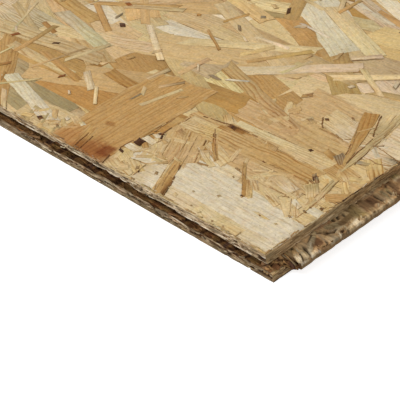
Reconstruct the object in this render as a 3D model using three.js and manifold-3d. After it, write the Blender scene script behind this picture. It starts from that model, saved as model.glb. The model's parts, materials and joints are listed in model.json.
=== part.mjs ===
// Tongue-and-groove oriented strand board, profiled on all four sides.
// Millimetres, +Z up. The board lies flat on its underside; the origin is at the middle of the
// underside of its overall box. A groove runs along the -Y long side and the -X short side, a tongue
// along the +Y long side and the +X short side.

import * as THREE from 'three';
import { mergeVertices } from 'three/addons/utils/BufferGeometryUtils.js';
import Module from 'manifold-3d';

// Board
const faceLength = 2500;       // upper face along X, without the tongue
const faceWidth = 675;         // upper face along Y, without the tongue
const boardThickness = 15;
const upperLip = 4.8;          // wood above the groove mouth, and above the root of the tongue

// Tongue
const tongueReach = 12;        // from the upper cheek to the nose
const tongueRoot = 5.2;        // thickness of the tongue where it leaves the upper cheek
const tongueNose = 3.8;        // thickness at the nose, before its corners are rounded
const noseRadius = 0.9;
const expansionGap = 3;        // the lower cheek stands this far out, so two upper faces stay apart

// Groove
const flankClearance = 0.2;    // between the root of a seated tongue and the groove, each side
const bottomClearance = 1;     // between the nose of a seated tongue and the bottom of the groove
const bottomRadius = 0.6;
const mouthChamfer = 0.4;      // lead-in at both edges of the groove mouth

const rootRadius = 0.5;        // where a tongue's flank meets its cheeks
const arcSegments = 6;
const cutterOverrun = 20;      // each section runs this far past the board before they are crossed

// Both sections use the same heights, so a tongue seats in the groove of the next board. The tongue
// tapers and the groove is straight, so the groove takes the whole end of a tongue that it crosses.
const grooveDepth = tongueReach - expansionGap + bottomClearance;
const grooveHeight = tongueRoot + 2 * flankClearance;
const jointHeight = boardThickness - upperLip - grooveHeight / 2;
const thicknessAtLowerCheek = tongueRoot - (tongueRoot - tongueNose) * expansionGap / tongueReach;

const overallLength = faceLength + tongueReach;
const overallWidth = faceWidth + tongueReach;

const corner = (across, height, radius = 0) => ({ point: new THREE.Vector2(across, height), radius });

// An outline whose corners may each have a radius, drawn as an arc tangent to both sides.
function outlineWithArcs(corners) {
  const shape = new THREE.Shape();
  corners.forEach(({ point, radius }, i) => {
    const before = corners[(i + corners.length - 1) % corners.length].point;
    const after = corners[(i + 1) % corners.length].point;
    const toBefore = before.clone().sub(point).normalize();
    const toAfter = after.clone().sub(point).normalize();
    if (radius === 0) {
      if (i === 0) shape.moveTo(point.x, point.y);
      else shape.lineTo(point.x, point.y);
      return;
    }
    const halfAngle = Math.acos(toBefore.dot(toAfter)) / 2;
    const setback = radius / Math.tan(halfAngle);
    const arcStart = point.clone().addScaledVector(toBefore, setback);
    const arcEnd = point.clone().addScaledVector(toAfter, setback);
    const inward = toBefore.clone().add(toAfter).normalize();
    const centre = point.clone().addScaledVector(inward, radius / Math.sin(halfAngle));
    const startAngle = arcStart.clone().sub(centre).angle();
    const endAngle = arcEnd.clone().sub(centre).angle();
    const clockwise = toBefore.cross(toAfter) > 0;
    shape.lineTo(arcStart.x, arcStart.y);
    shape.absarc(centre.x, centre.y, radius, startAngle, endAngle, clockwise);
  });
  return shape;
}

// Section through the board, from the groove face at 0 to the nose of the tongue, height 0 underneath.
function boardSection(faceSpan) {
  const grooveRoof = jointHeight + grooveHeight / 2;
  const grooveFloor = jointHeight - grooveHeight / 2;
  const noseTip = faceSpan + tongueReach;
  const lowerCheek = faceSpan + expansionGap;
  return outlineWithArcs([
    corner(0, 0),
    corner(lowerCheek, 0),
    corner(lowerCheek, jointHeight - thicknessAtLowerCheek / 2, rootRadius),
    corner(noseTip, jointHeight - tongueNose / 2, noseRadius),
    corner(noseTip, jointHeight + tongueNose / 2, noseRadius),
    corner(faceSpan, jointHeight + tongueRoot / 2, rootRadius),
    corner(faceSpan, boardThickness),
    corner(0, boardThickness),
    corner(0, grooveRoof + mouthChamfer),
    corner(mouthChamfer, grooveRoof),
    corner(grooveDepth, grooveRoof, bottomRadius),
    corner(grooveDepth, grooveFloor, bottomRadius),
    corner(mouthChamfer, grooveFloor),
    corner(0, grooveFloor - mouthChamfer),
  ]);
}

// The section drawn out to a bar of the given length, with the section's plane at the bar's middle.
function sectionBar(faceSpan, barLength) {
  const bar = new THREE.ExtrudeGeometry(boardSection(faceSpan), {
    depth: barLength,
    bevelEnabled: false,
    curveSegments: arcSegments,
  });
  bar.translate(-(faceSpan + tongueReach) / 2, 0, -barLength / 2);
  bar.rotateX(Math.PI / 2);
  return bar;
}

// Manifold only joins and cuts; the shapes come from three.js.
const wasm = await Module();
wasm.setup();

function toSolid(geometry) {
  const bare = geometry.clone();
  bare.deleteAttribute('normal');
  bare.deleteAttribute('uv');
  const merged = mergeVertices(bare);
  return new wasm.Manifold(new wasm.Mesh({
    numProp: 3,
    vertProperties: new Float32Array(merged.attributes.position.array),
    triVerts: new Uint32Array(merged.index.array),
  }));
}

function toGeometry(solid) {
  const mesh = solid.getMesh();
  const geometry = new THREE.BufferGeometry();
  geometry.setAttribute('position', new THREE.BufferAttribute(mesh.vertProperties, 3));
  geometry.setIndex(new THREE.BufferAttribute(mesh.triVerts, 1));
  return geometry;
}

// The long sides are cut first and the short sides after them, each pass right across the board. So
// every groove also cuts back the tongue of the next side by its own depth, and the lips stay.
function boardSolid() {
  const acrossLength = sectionBar(faceLength, overallWidth + 2 * cutterOverrun);
  const acrossWidth = sectionBar(faceWidth, overallLength + 2 * cutterOverrun);
  acrossWidth.rotateZ(Math.PI / 2);
  return toSolid(acrossWidth).intersect(toSolid(acrossLength));
}

const strandBoard = new THREE.MeshStandardMaterial({ color: 0xd2b27e, roughness: 0.75, metalness: 0 });

const osbPanel = new THREE.Mesh(toGeometry(boardSolid()), strandBoard);
osbPanel.name = 'osb_panel';

const panel = new THREE.Group();
panel.add(osbPanel);

export default panel;
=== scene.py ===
import json
import math

import bpy
import numpy as np
from mathutils import Matrix, Vector


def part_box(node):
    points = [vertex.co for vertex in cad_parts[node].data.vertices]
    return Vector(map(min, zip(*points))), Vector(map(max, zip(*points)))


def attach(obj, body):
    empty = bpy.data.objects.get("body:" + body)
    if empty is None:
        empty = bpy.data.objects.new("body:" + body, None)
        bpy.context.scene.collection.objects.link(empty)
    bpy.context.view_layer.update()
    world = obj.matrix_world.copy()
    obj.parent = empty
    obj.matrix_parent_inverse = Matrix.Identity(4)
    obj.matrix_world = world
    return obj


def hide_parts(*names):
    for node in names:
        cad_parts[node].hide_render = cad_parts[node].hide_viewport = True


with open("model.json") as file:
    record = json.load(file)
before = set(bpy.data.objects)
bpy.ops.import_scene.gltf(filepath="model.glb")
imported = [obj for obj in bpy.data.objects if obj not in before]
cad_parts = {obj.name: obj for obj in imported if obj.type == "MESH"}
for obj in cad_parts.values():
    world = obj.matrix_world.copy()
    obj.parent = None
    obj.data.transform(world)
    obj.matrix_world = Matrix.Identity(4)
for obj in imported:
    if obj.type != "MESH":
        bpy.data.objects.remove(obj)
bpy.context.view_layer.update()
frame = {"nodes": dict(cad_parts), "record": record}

mm = 0.001

# The board's own lines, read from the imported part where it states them.
low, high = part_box("osb_panel")
mountAt = {m["name"]: m["pos_m"] for m in frame["record"]["mounts"]}
grooveBox = frame["record"]["physics"]["openings"][0]["box_m"]
tongueReach = 12 * mm
grooveDepth = 10 * mm
grooveFloor = grooveBox[0][2] - 0.02 * mm
grooveRoof = grooveBox[1][2] + 0.02 * mm
topZ = high.z
faceEast = high.x - tongueReach
faceNorth = high.y - tongueReach
cheekEast = mountAt["short_side_lower_cheek"][0]
cheekNorth = mountAt["long_side_lower_cheek"][1]
expansionGap = cheekEast - faceEast
tongueMiddle = (grooveFloor + grooveRoof) / 2
tongueRoot = 5.2 * mm
tongueNose = 3.8 * mm
noseRadius = 0.9 * mm
longRun, shortRun = faceEast - low.x, faceNorth - low.y

# Wood tones, 0 to 255.
tones = {
    "cream": (214, 200, 172),
    "paleSand": (210, 190, 154),
    "pinkCream": (212, 190, 156),
    "straw": (208, 184, 138),
    "yellow": (206, 178, 124),
    "sand": (202, 176, 132),
    "tan": (196, 164, 114),
    "pinkTan": (198, 166, 120),
    "honey": (188, 152, 98),
    "amber": (176, 134, 78),
    "pinkBrown": (187, 148, 94),
    "rust": (140, 88, 48),
    "olive": (190, 168, 124),
    "bark": (84, 56, 38),
    "darkBrown": (72, 46, 26),
    "edgeBrown": (168, 132, 88),
    "edgeDark": (128, 92, 54),
    "smudge": (156, 128, 90),
    "grey": (142, 124, 96),
    "greyBlue": (156, 144, 122),
    "oliveGrey": (178, 156, 112),
    "paleYellow": (208, 188, 144),
    "lip": (206, 190, 160),
    "lipPale": (232, 220, 198),
    "cheek": (196, 164, 120),
    "flank": (158, 130, 92),
    "flankRed": (126, 94, 64),
    "redDark": (100, 70, 46),
    "flankPale": (190, 168, 132),
    "flankOrange": (166, 132, 94),
    "petalPale": (218, 200, 168),
    "flankPink": (152, 128, 98),
    "pinkBrownDull": (140, 104, 74),
    "yellowPale": (188, 166, 128),
    "oliveDark": (112, 90, 56),
    "oliveGreyDark": (134, 116, 84),
    "orangeBrown": (148, 114, 76),
    "oliveBrown": (150, 128, 84),
    "brownDark": (98, 74, 48),
    "greyBrown": (132, 116, 88),
    "greyPale": (158, 144, 118),
    "pinkWood": (177, 151, 123),
    "moundBrown": (116, 84, 54),
    "moundPink": (146, 112, 80),
    "moundTan": (170, 134, 90),
    "moundYellow": (128, 100, 66),
    "moundOrange": (122, 84, 54),
    "moundPurple": (96, 70, 56),
    "floorBrown": (130, 96, 58),
    "floorOlive": (120, 92, 54),
    "floorRed": (108, 72, 44),
    "floorDeep": (80, 54, 34),
    "floorLight": (182, 142, 100),
    # painted shade inside voids and holes
    "void": (52, 28, 6),
    "nose": (129, 106, 76),
    "coreBrown": (104, 70, 40),
}


def fromCorner(back, inward):
    return faceEast - back * mm, low.y + inward * mm


def linear(tone):
    share = np.asarray(tone, float) / 255
    return np.where(share <= 0.04045, share / 12.92, ((share + 0.055) / 1.055) ** 2.4)


def opaque(tone, share=1.0):
    # a wood tone, lightened or darkened by the share, as a colour for a node
    return (*linear(tones[tone]) * share, 1)


def wander(places, step, seed):
    # a smooth random line through values from 0 to 1, one every step metres
    random = np.random.default_rng(seed)
    spots = np.arange(-2.0, 2.0, step)
    return np.interp(places, spots, random.uniform(0, 1, len(spots)))


def sawWander(places):
    # how far the face strands stop short of the saw line, 0 to 1
    small = wander(places, 1.3 * mm, 71) * 0.35
    notches = np.clip(wander(places, 3.1 * mm, 72) - 0.72, 0, 1) * 2.4
    return np.clip(small + notches, 0, 1)


def setMode(mode):
    bpy.ops.object.mode_set(mode=mode)


def deselectAll():
    if bpy.context.object and bpy.context.object.mode != "OBJECT":
        setMode("OBJECT")
    bpy.ops.object.select_all(action="DESELECT")


def selectOnly(*things):
    deselectAll()
    for thing in things:
        thing.select_set(True)
    bpy.context.view_layer.objects.active = things[0]


def selectMesh(action="SELECT"):
    bpy.ops.mesh.select_all(action=action)


def selectVerts(mesh, wanted):
    # picks vertices by place while in edit mode
    selectMesh("DESELECT")
    setMode("OBJECT")
    for vert in mesh.vertices:
        if wanted(vert.co):
            vert.select = True
    setMode("EDIT")


def valuesOf(data, label, width=1, kind=float):
    # one number, or one row of numbers, for each item of a mesh's data
    values = np.empty(len(data) * width, kind)
    data.foreach_get(label, values)
    return values.reshape(-1, width) if width > 1 else values


def addValues(mesh, label, kind, domain, field, values):
    mesh.attributes.new(label, kind, domain).data.foreach_set(field, values)


def triangleCount(mesh):
    return sum(len(p.vertices) - 2 for p in mesh.polygons)


def outlineOf(mesh):
    # the vertices on edges that only one face uses
    used = {}
    for face in mesh.polygons:
        for key in face.edge_keys:
            used[key] = used.get(key, 0) + 1
    return {vert for key, count in used.items() if count == 1 for vert in key}


def shapeOf(thing, length, width, rim):
    # what a copy needs of a modelled shape
    mesh = thing.data
    loops = [list(p.vertices) for p in mesh.polygons]
    co = np.array([v.co for v in mesh.vertices])
    shape = {
        "co": co,
        "along": np.clip(co[:, 0] / length + 0.5, 0, 1),
        "loops": np.concatenate(loops),
        "totals": np.array([len(face) for face in loops]),
        "rim": np.array([rim(p) for p in mesh.polygons]),
        "soft": np.zeros(len(co)),
        "length": length,
        "width": width,
    }
    bpy.data.objects.remove(thing)
    return shape


# One strand, modelled flat: a ragged outline, then an inset that lifts its face off the rim.
strandSizes = {
    "plate": {
        "length": 30, "width": 19, "grid": (10, 6), "jag": 1.3, "fray": 0.8,
        "slants": (0.08, -0.12, 0.16, -0.18), "rim": 0.22, "soft": 0.9,
    },
    "wide": {
        "length": 100, "width": 26, "grid": (16, 6), "jag": 1.5, "fray": 1.6,
        "slants": (0.05, -0.2, 0.2), "rim": 0.22, "soft": 1.3,
    },
    "strip": {
        "length": 60, "width": 8, "grid": (12, 3), "jag": 0.9, "fray": 0.9,
        "slants": (0.2, -0.3, 0.5), "rim": 0.20, "soft": 0.6,
    },
    "broad": {
        "length": 110, "width": 27, "grid": (6, 3), "jag": 2.2, "fray": 2.6,
        "slants": (0.0, 0.35, -0.3, 0.15), "rim": 0.28,
    },
    "middle": {
        "length": 85, "width": 14, "grid": (6, 2), "jag": 1.8, "fray": 2.2,
        "slants": (0.3, -0.45, 0.1, 0.6), "rim": 0.26,
    },
    "narrow": {
        "length": 58, "width": 6.5, "grid": (5, 2), "jag": 1.0, "fray": 1.4,
        "slants": (0.4, -0.5, 0.7, 0.1), "rim": 0.22,
    },
    "sliver": {
        "length": 24, "width": 3, "grid": (4, 1), "jag": 0.5, "fray": 0.8,
        "slants": (0.4, -0.5, 0.2, 0.8), "rim": 0.18,
    },
    "taper": {
        "length": 44, "width": 8, "grid": (12, 2), "jag": 0.8, "fray": 0.6,
        "slants": (0.0, 0.2), "rim": 0.16, "soft": 0.25, "taper": 0.2,
    },
    "chip": {
        "length": 6, "width": 3.4, "grid": (3, 2), "jag": 0.6, "fray": 0.3,
        "slants": (0.2, -0.3, 0.5), "rim": 0.14,
    },
}
rimDrop = 0.30 * mm
softDrop = 0.03 * mm


def crossesItself(mesh):
    mesh.calc_loop_triangles()
    for triangle in mesh.loop_triangles:
        a, b, c = (mesh.vertices[i].co for i in triangle.vertices)
        if (b - a).cross(c - a).z < -2e-9:
            return True
    return False


def modelStrand(size, slant, seed):
    length, width = size["length"] * mm, size["width"] * mm
    random = np.random.default_rng(seed)
    deselectAll()
    bpy.ops.mesh.primitive_grid_add(x_subdivisions=size["grid"][0], y_subdivisions=size["grid"][1], size=1)
    strand = bpy.context.object
    mesh = strand.data
    setMode("EDIT")
    bpy.ops.transform.resize(value=(length, width, 1))
    setMode("OBJECT")
    setMode("EDIT")
    tiny = 0.01 * mm
    if size.get("taper"):
        for x in sorted({round(v.co.x, 7) for v in mesh.vertices}):
            selectVerts(mesh, lambda co: abs(co.x - x) < tiny)
            share = min(max(x / length + 0.5, 0), 1)
            bpy.ops.transform.resize(value=(1, 1 - (1 - size["taper"]) * share ** 1.4, 1))
        setMode("OBJECT")
        setMode("EDIT")
    rows = sorted({round(v.co.y, 7) for v in mesh.vertices})
    for end in (-1, 1):
        for y in rows:
            selectVerts(mesh, lambda co: co.x * end > length / 2 - tiny and abs(co.y - y) < tiny)
            push = slant * y + random.uniform(-1, 1) * size["fray"] * mm
            bpy.ops.transform.translate(value=(push, 0, 0))
    selectMesh()
    bpy.ops.mesh.dissolve_faces()
    bpy.ops.transform.vertex_random(offset=size["jag"] * 0.5 * mm, uniform=0, normal=0, seed=seed)
    bpy.ops.transform.resize(value=(1, 1, 0))
    selectMesh()
    bpy.ops.mesh.inset(thickness=size["rim"] * mm, depth=0, use_even_offset=False)
    if size.get("soft"):
        bpy.ops.mesh.inset(thickness=size["soft"] * mm, depth=0, use_even_offset=False)
    selectMesh()
    bpy.ops.mesh.normals_make_consistent(inside=False)
    setMode("OBJECT")
    faceUp = max(mesh.polygons, key=lambda p: len(p.vertices))
    if faceUp.normal.z < 0:
        mesh.flip_normals()
    if crossesItself(mesh):
        bpy.data.objects.remove(strand)
        return modelStrand(size, slant, seed + 1000)
    outline = outlineOf(mesh)
    inner = set(faceUp.vertices)
    for vert in mesh.vertices:
        vert.co.z = -rimDrop if vert.index in outline else 0 if vert.index in inner else -softDrop
    shape = shapeOf(strand, length, width, lambda p: 1.0 if outline.intersection(p.vertices) else 0.0)
    shape["soft"] = np.array([0.0 if i in inner else 1.0 for i in range(len(shape["co"]))])
    return shape


# Torn flakes have thickness and stand off the wood they tore from.
flakeSizes = {
    "flake": {"length": 12, "width": 3.2, "thick": 0.18, "parts": 4, "jag": 0.7, "bends": (6, -8, 14, 3)},
    "splinter": {"length": 12, "width": 1.1, "thick": 0.20, "parts": 3, "jag": 0.35, "bends": (8, -10, 16)},
    "petal": {"length": 9, "width": 2.3, "thick": 0.18, "parts": 6, "jag": 0.35, "bends": (-18, -12, 10)},
}


def modelFlake(size, bend, seed):
    length, width, thick = size["length"] * mm, size["width"] * mm, size["thick"] * mm
    deselectAll()
    bpy.ops.mesh.primitive_grid_add(x_subdivisions=size["parts"], y_subdivisions=1, size=1)
    flake = bpy.context.object
    setMode("EDIT")
    bpy.ops.transform.resize(value=(length, width, 1))
    selectMesh()
    bpy.ops.transform.vertex_random(offset=size["jag"] * mm, uniform=0, normal=0, seed=seed)
    bpy.ops.transform.resize(value=(1, 1, 0))
    bpy.ops.mesh.extrude_region_move(TRANSFORM_OT_translate={"value": (0, 0, thick)})
    selectMesh()
    bpy.ops.mesh.normals_make_consistent(inside=False)
    setMode("OBJECT")
    curl = flake.modifiers.new("curl", "SIMPLE_DEFORM")
    curl.deform_method = "BEND"
    curl.deform_axis = "Y"
    curl.angle = math.radians(bend)
    bpy.ops.object.modifier_apply(modifier=curl.name)
    return shapeOf(flake, length, width, lambda p: 0.0 if abs(p.normal.z) > 0.5 else 1.0)


strandShapes = {
    kind: [modelStrand(size, slant, 3 + 5 * i) for i, slant in enumerate(size["slants"])]
    for kind, size in strandSizes.items()
}
for kind, size in flakeSizes.items():
    strandShapes[kind] = [modelFlake(size, bend, 11 + 7 * i) for i, bend in enumerate(size["bends"])]
print("strand shapes modelled:", {kind: len(found) for kind, found in strandShapes.items()})


def newBatch():
    return {"shape": [], "origin": [], "axes": [], "tint": [], "tintFar": [], "rings": []}


def addStrand(batch, kind, pick, origin, axes, length, width, tint, rings=(0, 2.0), tintFar=None):
    # rings: strength of the growth lines and their pitch in millimetres
    pick = pick % len(strandShapes[kind])
    shape = strandShapes[kind][pick]
    along, across, up = axes
    batch["shape"].append((kind, pick))
    batch["origin"].append(origin)
    along, across = np.multiply(along, length / shape["length"]), np.multiply(across, width / shape["width"])
    batch["axes"].append((along, across, up))
    batch["tint"].append(tint)
    batch["tintFar"].append(tint if tintFar is None else tintFar)
    batch["rings"].append(rings)


# What the saw leaves of the face strands, in millimetres: the cut edges turn down into the board, and
# by the tongue side their feet are dark over a stretch measured from the groove side.
sawnBorder = {
    "wall": 0.45,
    "push": 0.25,
    "footFrom": 48,
    "footOver": 12,
    "footDark": (0.66, 0.70, 0.76),
    "rimPlaces": (42, 58, 120, 160),
    "rimShares": (0, 1, 1, 0.3),
}


def sawFlush(piece, lowest, highest, waver, walls):
    # cuts off what reaches past the saw lines: axis, place and the way out of the board
    cuts = ((0, lowest[0], -1), (0, highest[0], 1), (1, lowest[1], -1), (1, highest[1], 1))
    selectOnly(piece)
    setMode("EDIT")
    for axis, place, way in cuts:
        at, normal = [0, 0, 0], [0, 0, 0]
        at[axis], normal[axis] = place, way
        selectMesh()
        bpy.ops.mesh.bisect(plane_co=at, plane_no=normal, clear_outer=True, use_fill=not walls)
    if walls:
        turnDown(piece.data, cuts, lowest, highest, waver)
        return
    setMode("OBJECT")
    # a chip that already lay in the saw plane was filled a second time
    piece.data.validate()


def turnDown(mesh, cuts, lowest, highest, waver):
    # draws the cut edges down into the board, shades their feet and frays the saw line
    bpy.ops.mesh.select_mode(type="EDGE")
    selectMesh("DESELECT")
    setMode("OBJECT")
    tiny = 0.001 * mm
    co = valuesOf(mesh.vertices, "co", 3)
    ends = valuesOf(mesh.edges, "vertices", 2, int)
    used = np.bincount(valuesOf(mesh.loops, "edge_index", kind=int), minlength=len(ends))
    cut = np.zeros(len(ends), bool)
    for axis, place, _ in cuts:
        line = np.abs(co[:, axis] - place) < tiny
        cut |= line[ends[:, 0]] & line[ends[:, 1]]
    cut &= used == 1
    mesh.edges.foreach_set("select", cut)
    chosen = np.zeros(len(co), bool)
    chosen[ends[cut].ravel()] = True
    mesh.vertices.foreach_set("select", chosen)
    setMode("EDIT")
    before = len(co)
    down = sawnBorder["wall"] * (-mm if highest[2] > topZ / 2 else mm)
    bpy.ops.mesh.extrude_region_move(TRANSFORM_OT_translate={"value": (0, 0, down)})
    bpy.ops.mesh.select_mode(type="VERT")
    setMode("OBJECT")

    co = valuesOf(mesh.vertices, "co", 3)
    foot = (np.abs(co[:, 0] - highest[0]) < tiny) & (np.arange(len(co)) >= before)
    start, over = sawnBorder["footFrom"] * mm, sawnBorder["footOver"] * mm
    foot = foot * np.clip((co[:, 1] - low.y - start) / over, 0, 1)
    for label in ("tint", "tintFar"):
        data = mesh.attributes[label].data
        color = valuesOf(data, "color", 4)
        color[:, :3] *= 1 - foot[:, None] * np.array(sawnBorder["footDark"])
        data.foreach_set("color", color.ravel())
    center, normal = valuesOf(mesh.polygons, "center", 3), valuesOf(mesh.polygons, "normal", 3)
    rim = valuesOf(mesh.attributes["rim"].data, "value")
    edge = (np.abs(center[:, 0] - highest[0]) < tiny) & (np.abs(normal[:, 2]) < 0.3)
    places = np.array(sawnBorder["rimPlaces"]) * mm
    rim[edge] = np.interp(center[edge, 1] - low.y, places, sawnBorder["rimShares"])
    mesh.attributes["rim"].data.foreach_set("value", rim)

    push = sawnBorder["push"] * mm * valuesOf(mesh.attributes["push"].data, "value")
    for axis, place, way in cuts:
        line = np.abs(co[:, axis] - place) < tiny
        co[line, axis] -= way * (waver * sawWander(co[line, 1 - axis] + 0.7 * axis) + push[line])
    co[:, 2] = np.clip(co[:, 2], lowest[2], highest[2])
    mesh.vertices.foreach_set("co", co.ravel())
    mesh.update()


def joinBatch(name, batch, material, lowest, highest, seed, waver=0.0, walls=True):
    # every copy gets its own vertices
    random = np.random.default_rng(seed)
    given = {key: np.array(value) for key, value in batch.items() if key != "shape"}
    labels = ("co", "loops", "totals", "rim", "tint", "tintFar", "rings", "uv", "along", "soft", "push")
    parts = {label: [] for label in labels}
    used = 0
    for key in sorted(set(batch["shape"])):
        shape = strandShapes[key[0]][key[1]]
        rows = np.array([i for i, k in enumerate(batch["shape"]) if k == key])
        count, co, axes = len(rows), shape["co"], given["axes"][rows]
        placed = given["origin"][rows, None, :] + np.einsum("vk,rkc->rvc", co, axes)
        scale = np.linalg.norm(axes, axis=2)
        flat = co[None, :, :2] * scale[:, None, :2] + random.uniform(-3, 3, (count, 1, 2))
        shift = used + np.arange(count) * len(co)
        parts["co"].append(placed.reshape(-1, 3))
        parts["loops"].append((shape["loops"][None, :] + shift[:, None]).ravel())
        parts["uv"].append(flat[:, shape["loops"], :].reshape(-1, 2))
        parts["push"].append(np.repeat(random.uniform(0, 1, count), len(co)))
        for label in ("totals", "rim", "along", "soft"):
            parts[label].append(np.tile(shape[label], count))
        for label in ("tint", "tintFar", "rings"):
            parts[label].append(np.repeat(given[label][rows], len(co), axis=0))
        used += count * len(co)
    whole = {key: np.concatenate(value) for key, value in parts.items()}
    mesh = bpy.data.meshes.new(name)
    mesh.vertices.add(used)
    mesh.vertices.foreach_set("co", whole["co"].ravel())
    mesh.loops.add(len(whole["loops"]))
    mesh.loops.foreach_set("vertex_index", whole["loops"])
    mesh.polygons.add(len(whole["totals"]))
    mesh.polygons.foreach_set("loop_start", np.concatenate([[0], np.cumsum(whole["totals"])[:-1]]))
    mesh.update(calc_edges=True)
    for label in ("tint", "tintFar"):
        colors = np.column_stack([whole[label], np.ones(used)]).ravel()
        addValues(mesh, label, "FLOAT_COLOR", "POINT", "color", colors)
    whole["ringStrength"], whole["ringPitch"] = whole["rings"].T.copy()
    for label in ("ringStrength", "ringPitch", "along", "soft", "push"):
        addValues(mesh, label, "FLOAT", "POINT", "value", whole[label])
    addValues(mesh, "rim", "FLOAT", "FACE", "value", whole["rim"])
    mesh.uv_layers.new(name="grain").data.foreach_set("uv", whole["uv"].ravel())
    mesh.materials.append(material)
    piece = bpy.data.objects.new(name, mesh)
    bpy.context.scene.collection.objects.link(piece)
    sawFlush(piece, lowest, highest, waver, walls)
    print(name, "strands", len(batch["shape"]), "triangles", triangleCount(mesh))
    return piece


def link(tree, source, target):
    tree.links.new(source, target)


def setInput(tree, socket, value):
    if isinstance(value, bpy.types.NodeSocket):
        link(tree, value, socket)
    else:
        socket.default_value = value


def makeNode(tree, kind, settings=None, **inputs):
    # inputs by name, or by number as i0, i1
    node = tree.nodes.new(kind)
    for key, value in (settings or {}).items():
        setattr(node, key, value)
    for key, value in inputs.items():
        numbered = key[0] == "i" and key[1:].isdigit()
        setInput(tree, node.inputs[int(key[1:]) if numbered else key], value)
    return node


def math2(tree, operation, a, b=0.0, c=0.0):
    return makeNode(tree, "ShaderNodeMath", {"operation": operation}, i0=a, i1=b, i2=c).outputs[0]


def times(tree, a, b):
    return math2(tree, "MULTIPLY", a, b)


def minus(tree, a, b):
    return math2(tree, "SUBTRACT", a, b)


def timesPlus(tree, a, b, c):
    return math2(tree, "MULTIPLY_ADD", a, b, c)


def vectorMath(tree, operation, output=0, **inputs):
    return makeNode(tree, "ShaderNodeVectorMath", {"operation": operation}, **inputs).outputs[output]


def mixColor(tree, factor, a, b, blend="MIX"):
    mix = makeNode(tree, "ShaderNodeMix", {"data_type": "RGBA", "blend_type": blend}, i0=factor, i6=a, i7=b)
    return mix.outputs[2]


def darker(tree, color, factor, tone):
    # multiplies the colour by the tone where the factor is 1
    return mixColor(tree, factor, color, mixColor(tree, 1.0, color, (*tone, 1), "MULTIPLY"))


def scaled(tree, vector, x, y):
    return vectorMath(tree, "MULTIPLY", i0=vector, i1=(x, y, 1))


def noiseAt(tree, vector, x, y, detail=2.0, roughness=0.5):
    # noise drawn out along the grain; x and y are per metre
    place = scaled(tree, vector, x, y)
    noise = makeNode(
        tree, "ShaderNodeTexNoise", {"noise_dimensions": "2D"},
        Vector=place, Scale=1.0, Detail=detail, Roughness=roughness,
    )
    return noise.outputs[0]


def smoothStep(tree, value, start, end):
    smooth = {"interpolation_type": "SMOOTHSTEP"}
    return makeNode(tree, "ShaderNodeMapRange", smooth, i0=value, i1=start, i2=end).outputs[0]


def readAttribute(tree, label, output="Fac"):
    return makeNode(tree, "ShaderNodeAttribute", {"attribute_name": label}).outputs[output]


def newMaterial(name):
    material = bpy.data.materials.new(name)
    material.use_nodes = True
    tree = material.node_tree
    shader = tree.nodes["Principled BSDF"]
    shader.inputs["Specular IOR Level"].default_value = 0.06
    return material, tree, shader


def greyOf(tree, value):
    return makeNode(tree, "ShaderNodeCombineXYZ", X=value, Y=value, Z=value).outputs[0]


def noise3(tree, place, scale, detail=1.0):
    return makeNode(tree, "ShaderNodeTexNoise", Vector=place, Scale=scale, Detail=detail).outputs[0]


def placesOn(tree):
    # along and across the grain, and the place on the board
    uv = makeNode(tree, "ShaderNodeUVMap", {"uv_map": "grain"}).outputs[0]
    return uv, makeNode(tree, "ShaderNodeTexCoord").outputs["Object"]


def finishWood(tree, shader, color, rough, height, bump, depth=0.3):
    # depth of the bumps in millimetres
    relief = makeNode(tree, "ShaderNodeBump", Strength=bump, Distance=depth * mm, Height=height)
    for source, socket in ((color, "Base Color"), (rough, "Roughness"), (relief.outputs[0], "Normal")):
        link(tree, source, shader.inputs[socket])


strandWoodLook = {
    "fibre": 0.10,
    "streak": 0.055,
    "pepper": 0.12,
    "blotch": 0.06,
    "line": 0.34,
    "yellow": 0.6,
    "speck": 0.5,
    "rimDark": 0.45,
    "softShare": 0.55,
    "roughness": 0.62,
    "bump": 0.5,
    # middle (back, inward), half length, half width, strength, what the colour is multiplied by
    "stains": [
        (128, 3, 15, 12, 0.95, (0.60, 0.39, 0.29)),
        (122.5, 8, 5.5, 5.5, 0.9, (0.60, 0.40, 0.32)),
        (149, 3, 10, 11, 0.8, (0.86, 0.70, 0.62)),
        (139.5, 25, 4.5, 2.4, 0.8, (0.62, 0.48, 0.38)),
        (84, 60.5, 9, 2.2, 0.7, (0.62, 0.48, 0.36)),
    ],
}


def stainWeight(tree, place, back, inward, along, wide, strength):
    # how strongly a stain soaks in, with an uneven rim
    x, y = fromCorner(back, inward)
    offset = vectorMath(tree, "SUBTRACT", i0=place, i1=(x, y, 0))
    spread = vectorMath(tree, "MULTIPLY", i0=offset, i1=(1 / (along * mm), 1 / (wide * mm), 0))
    distance = vectorMath(tree, "LENGTH", "Value", i0=spread)
    uneven = timesPlus(tree, noise3(tree, place, 190.0, 3.0), 1.1, minus(tree, distance, 0.55))
    return minus(tree, strength, times(tree, smoothStep(tree, uneven, 0.35, 1.15), strength))


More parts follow.
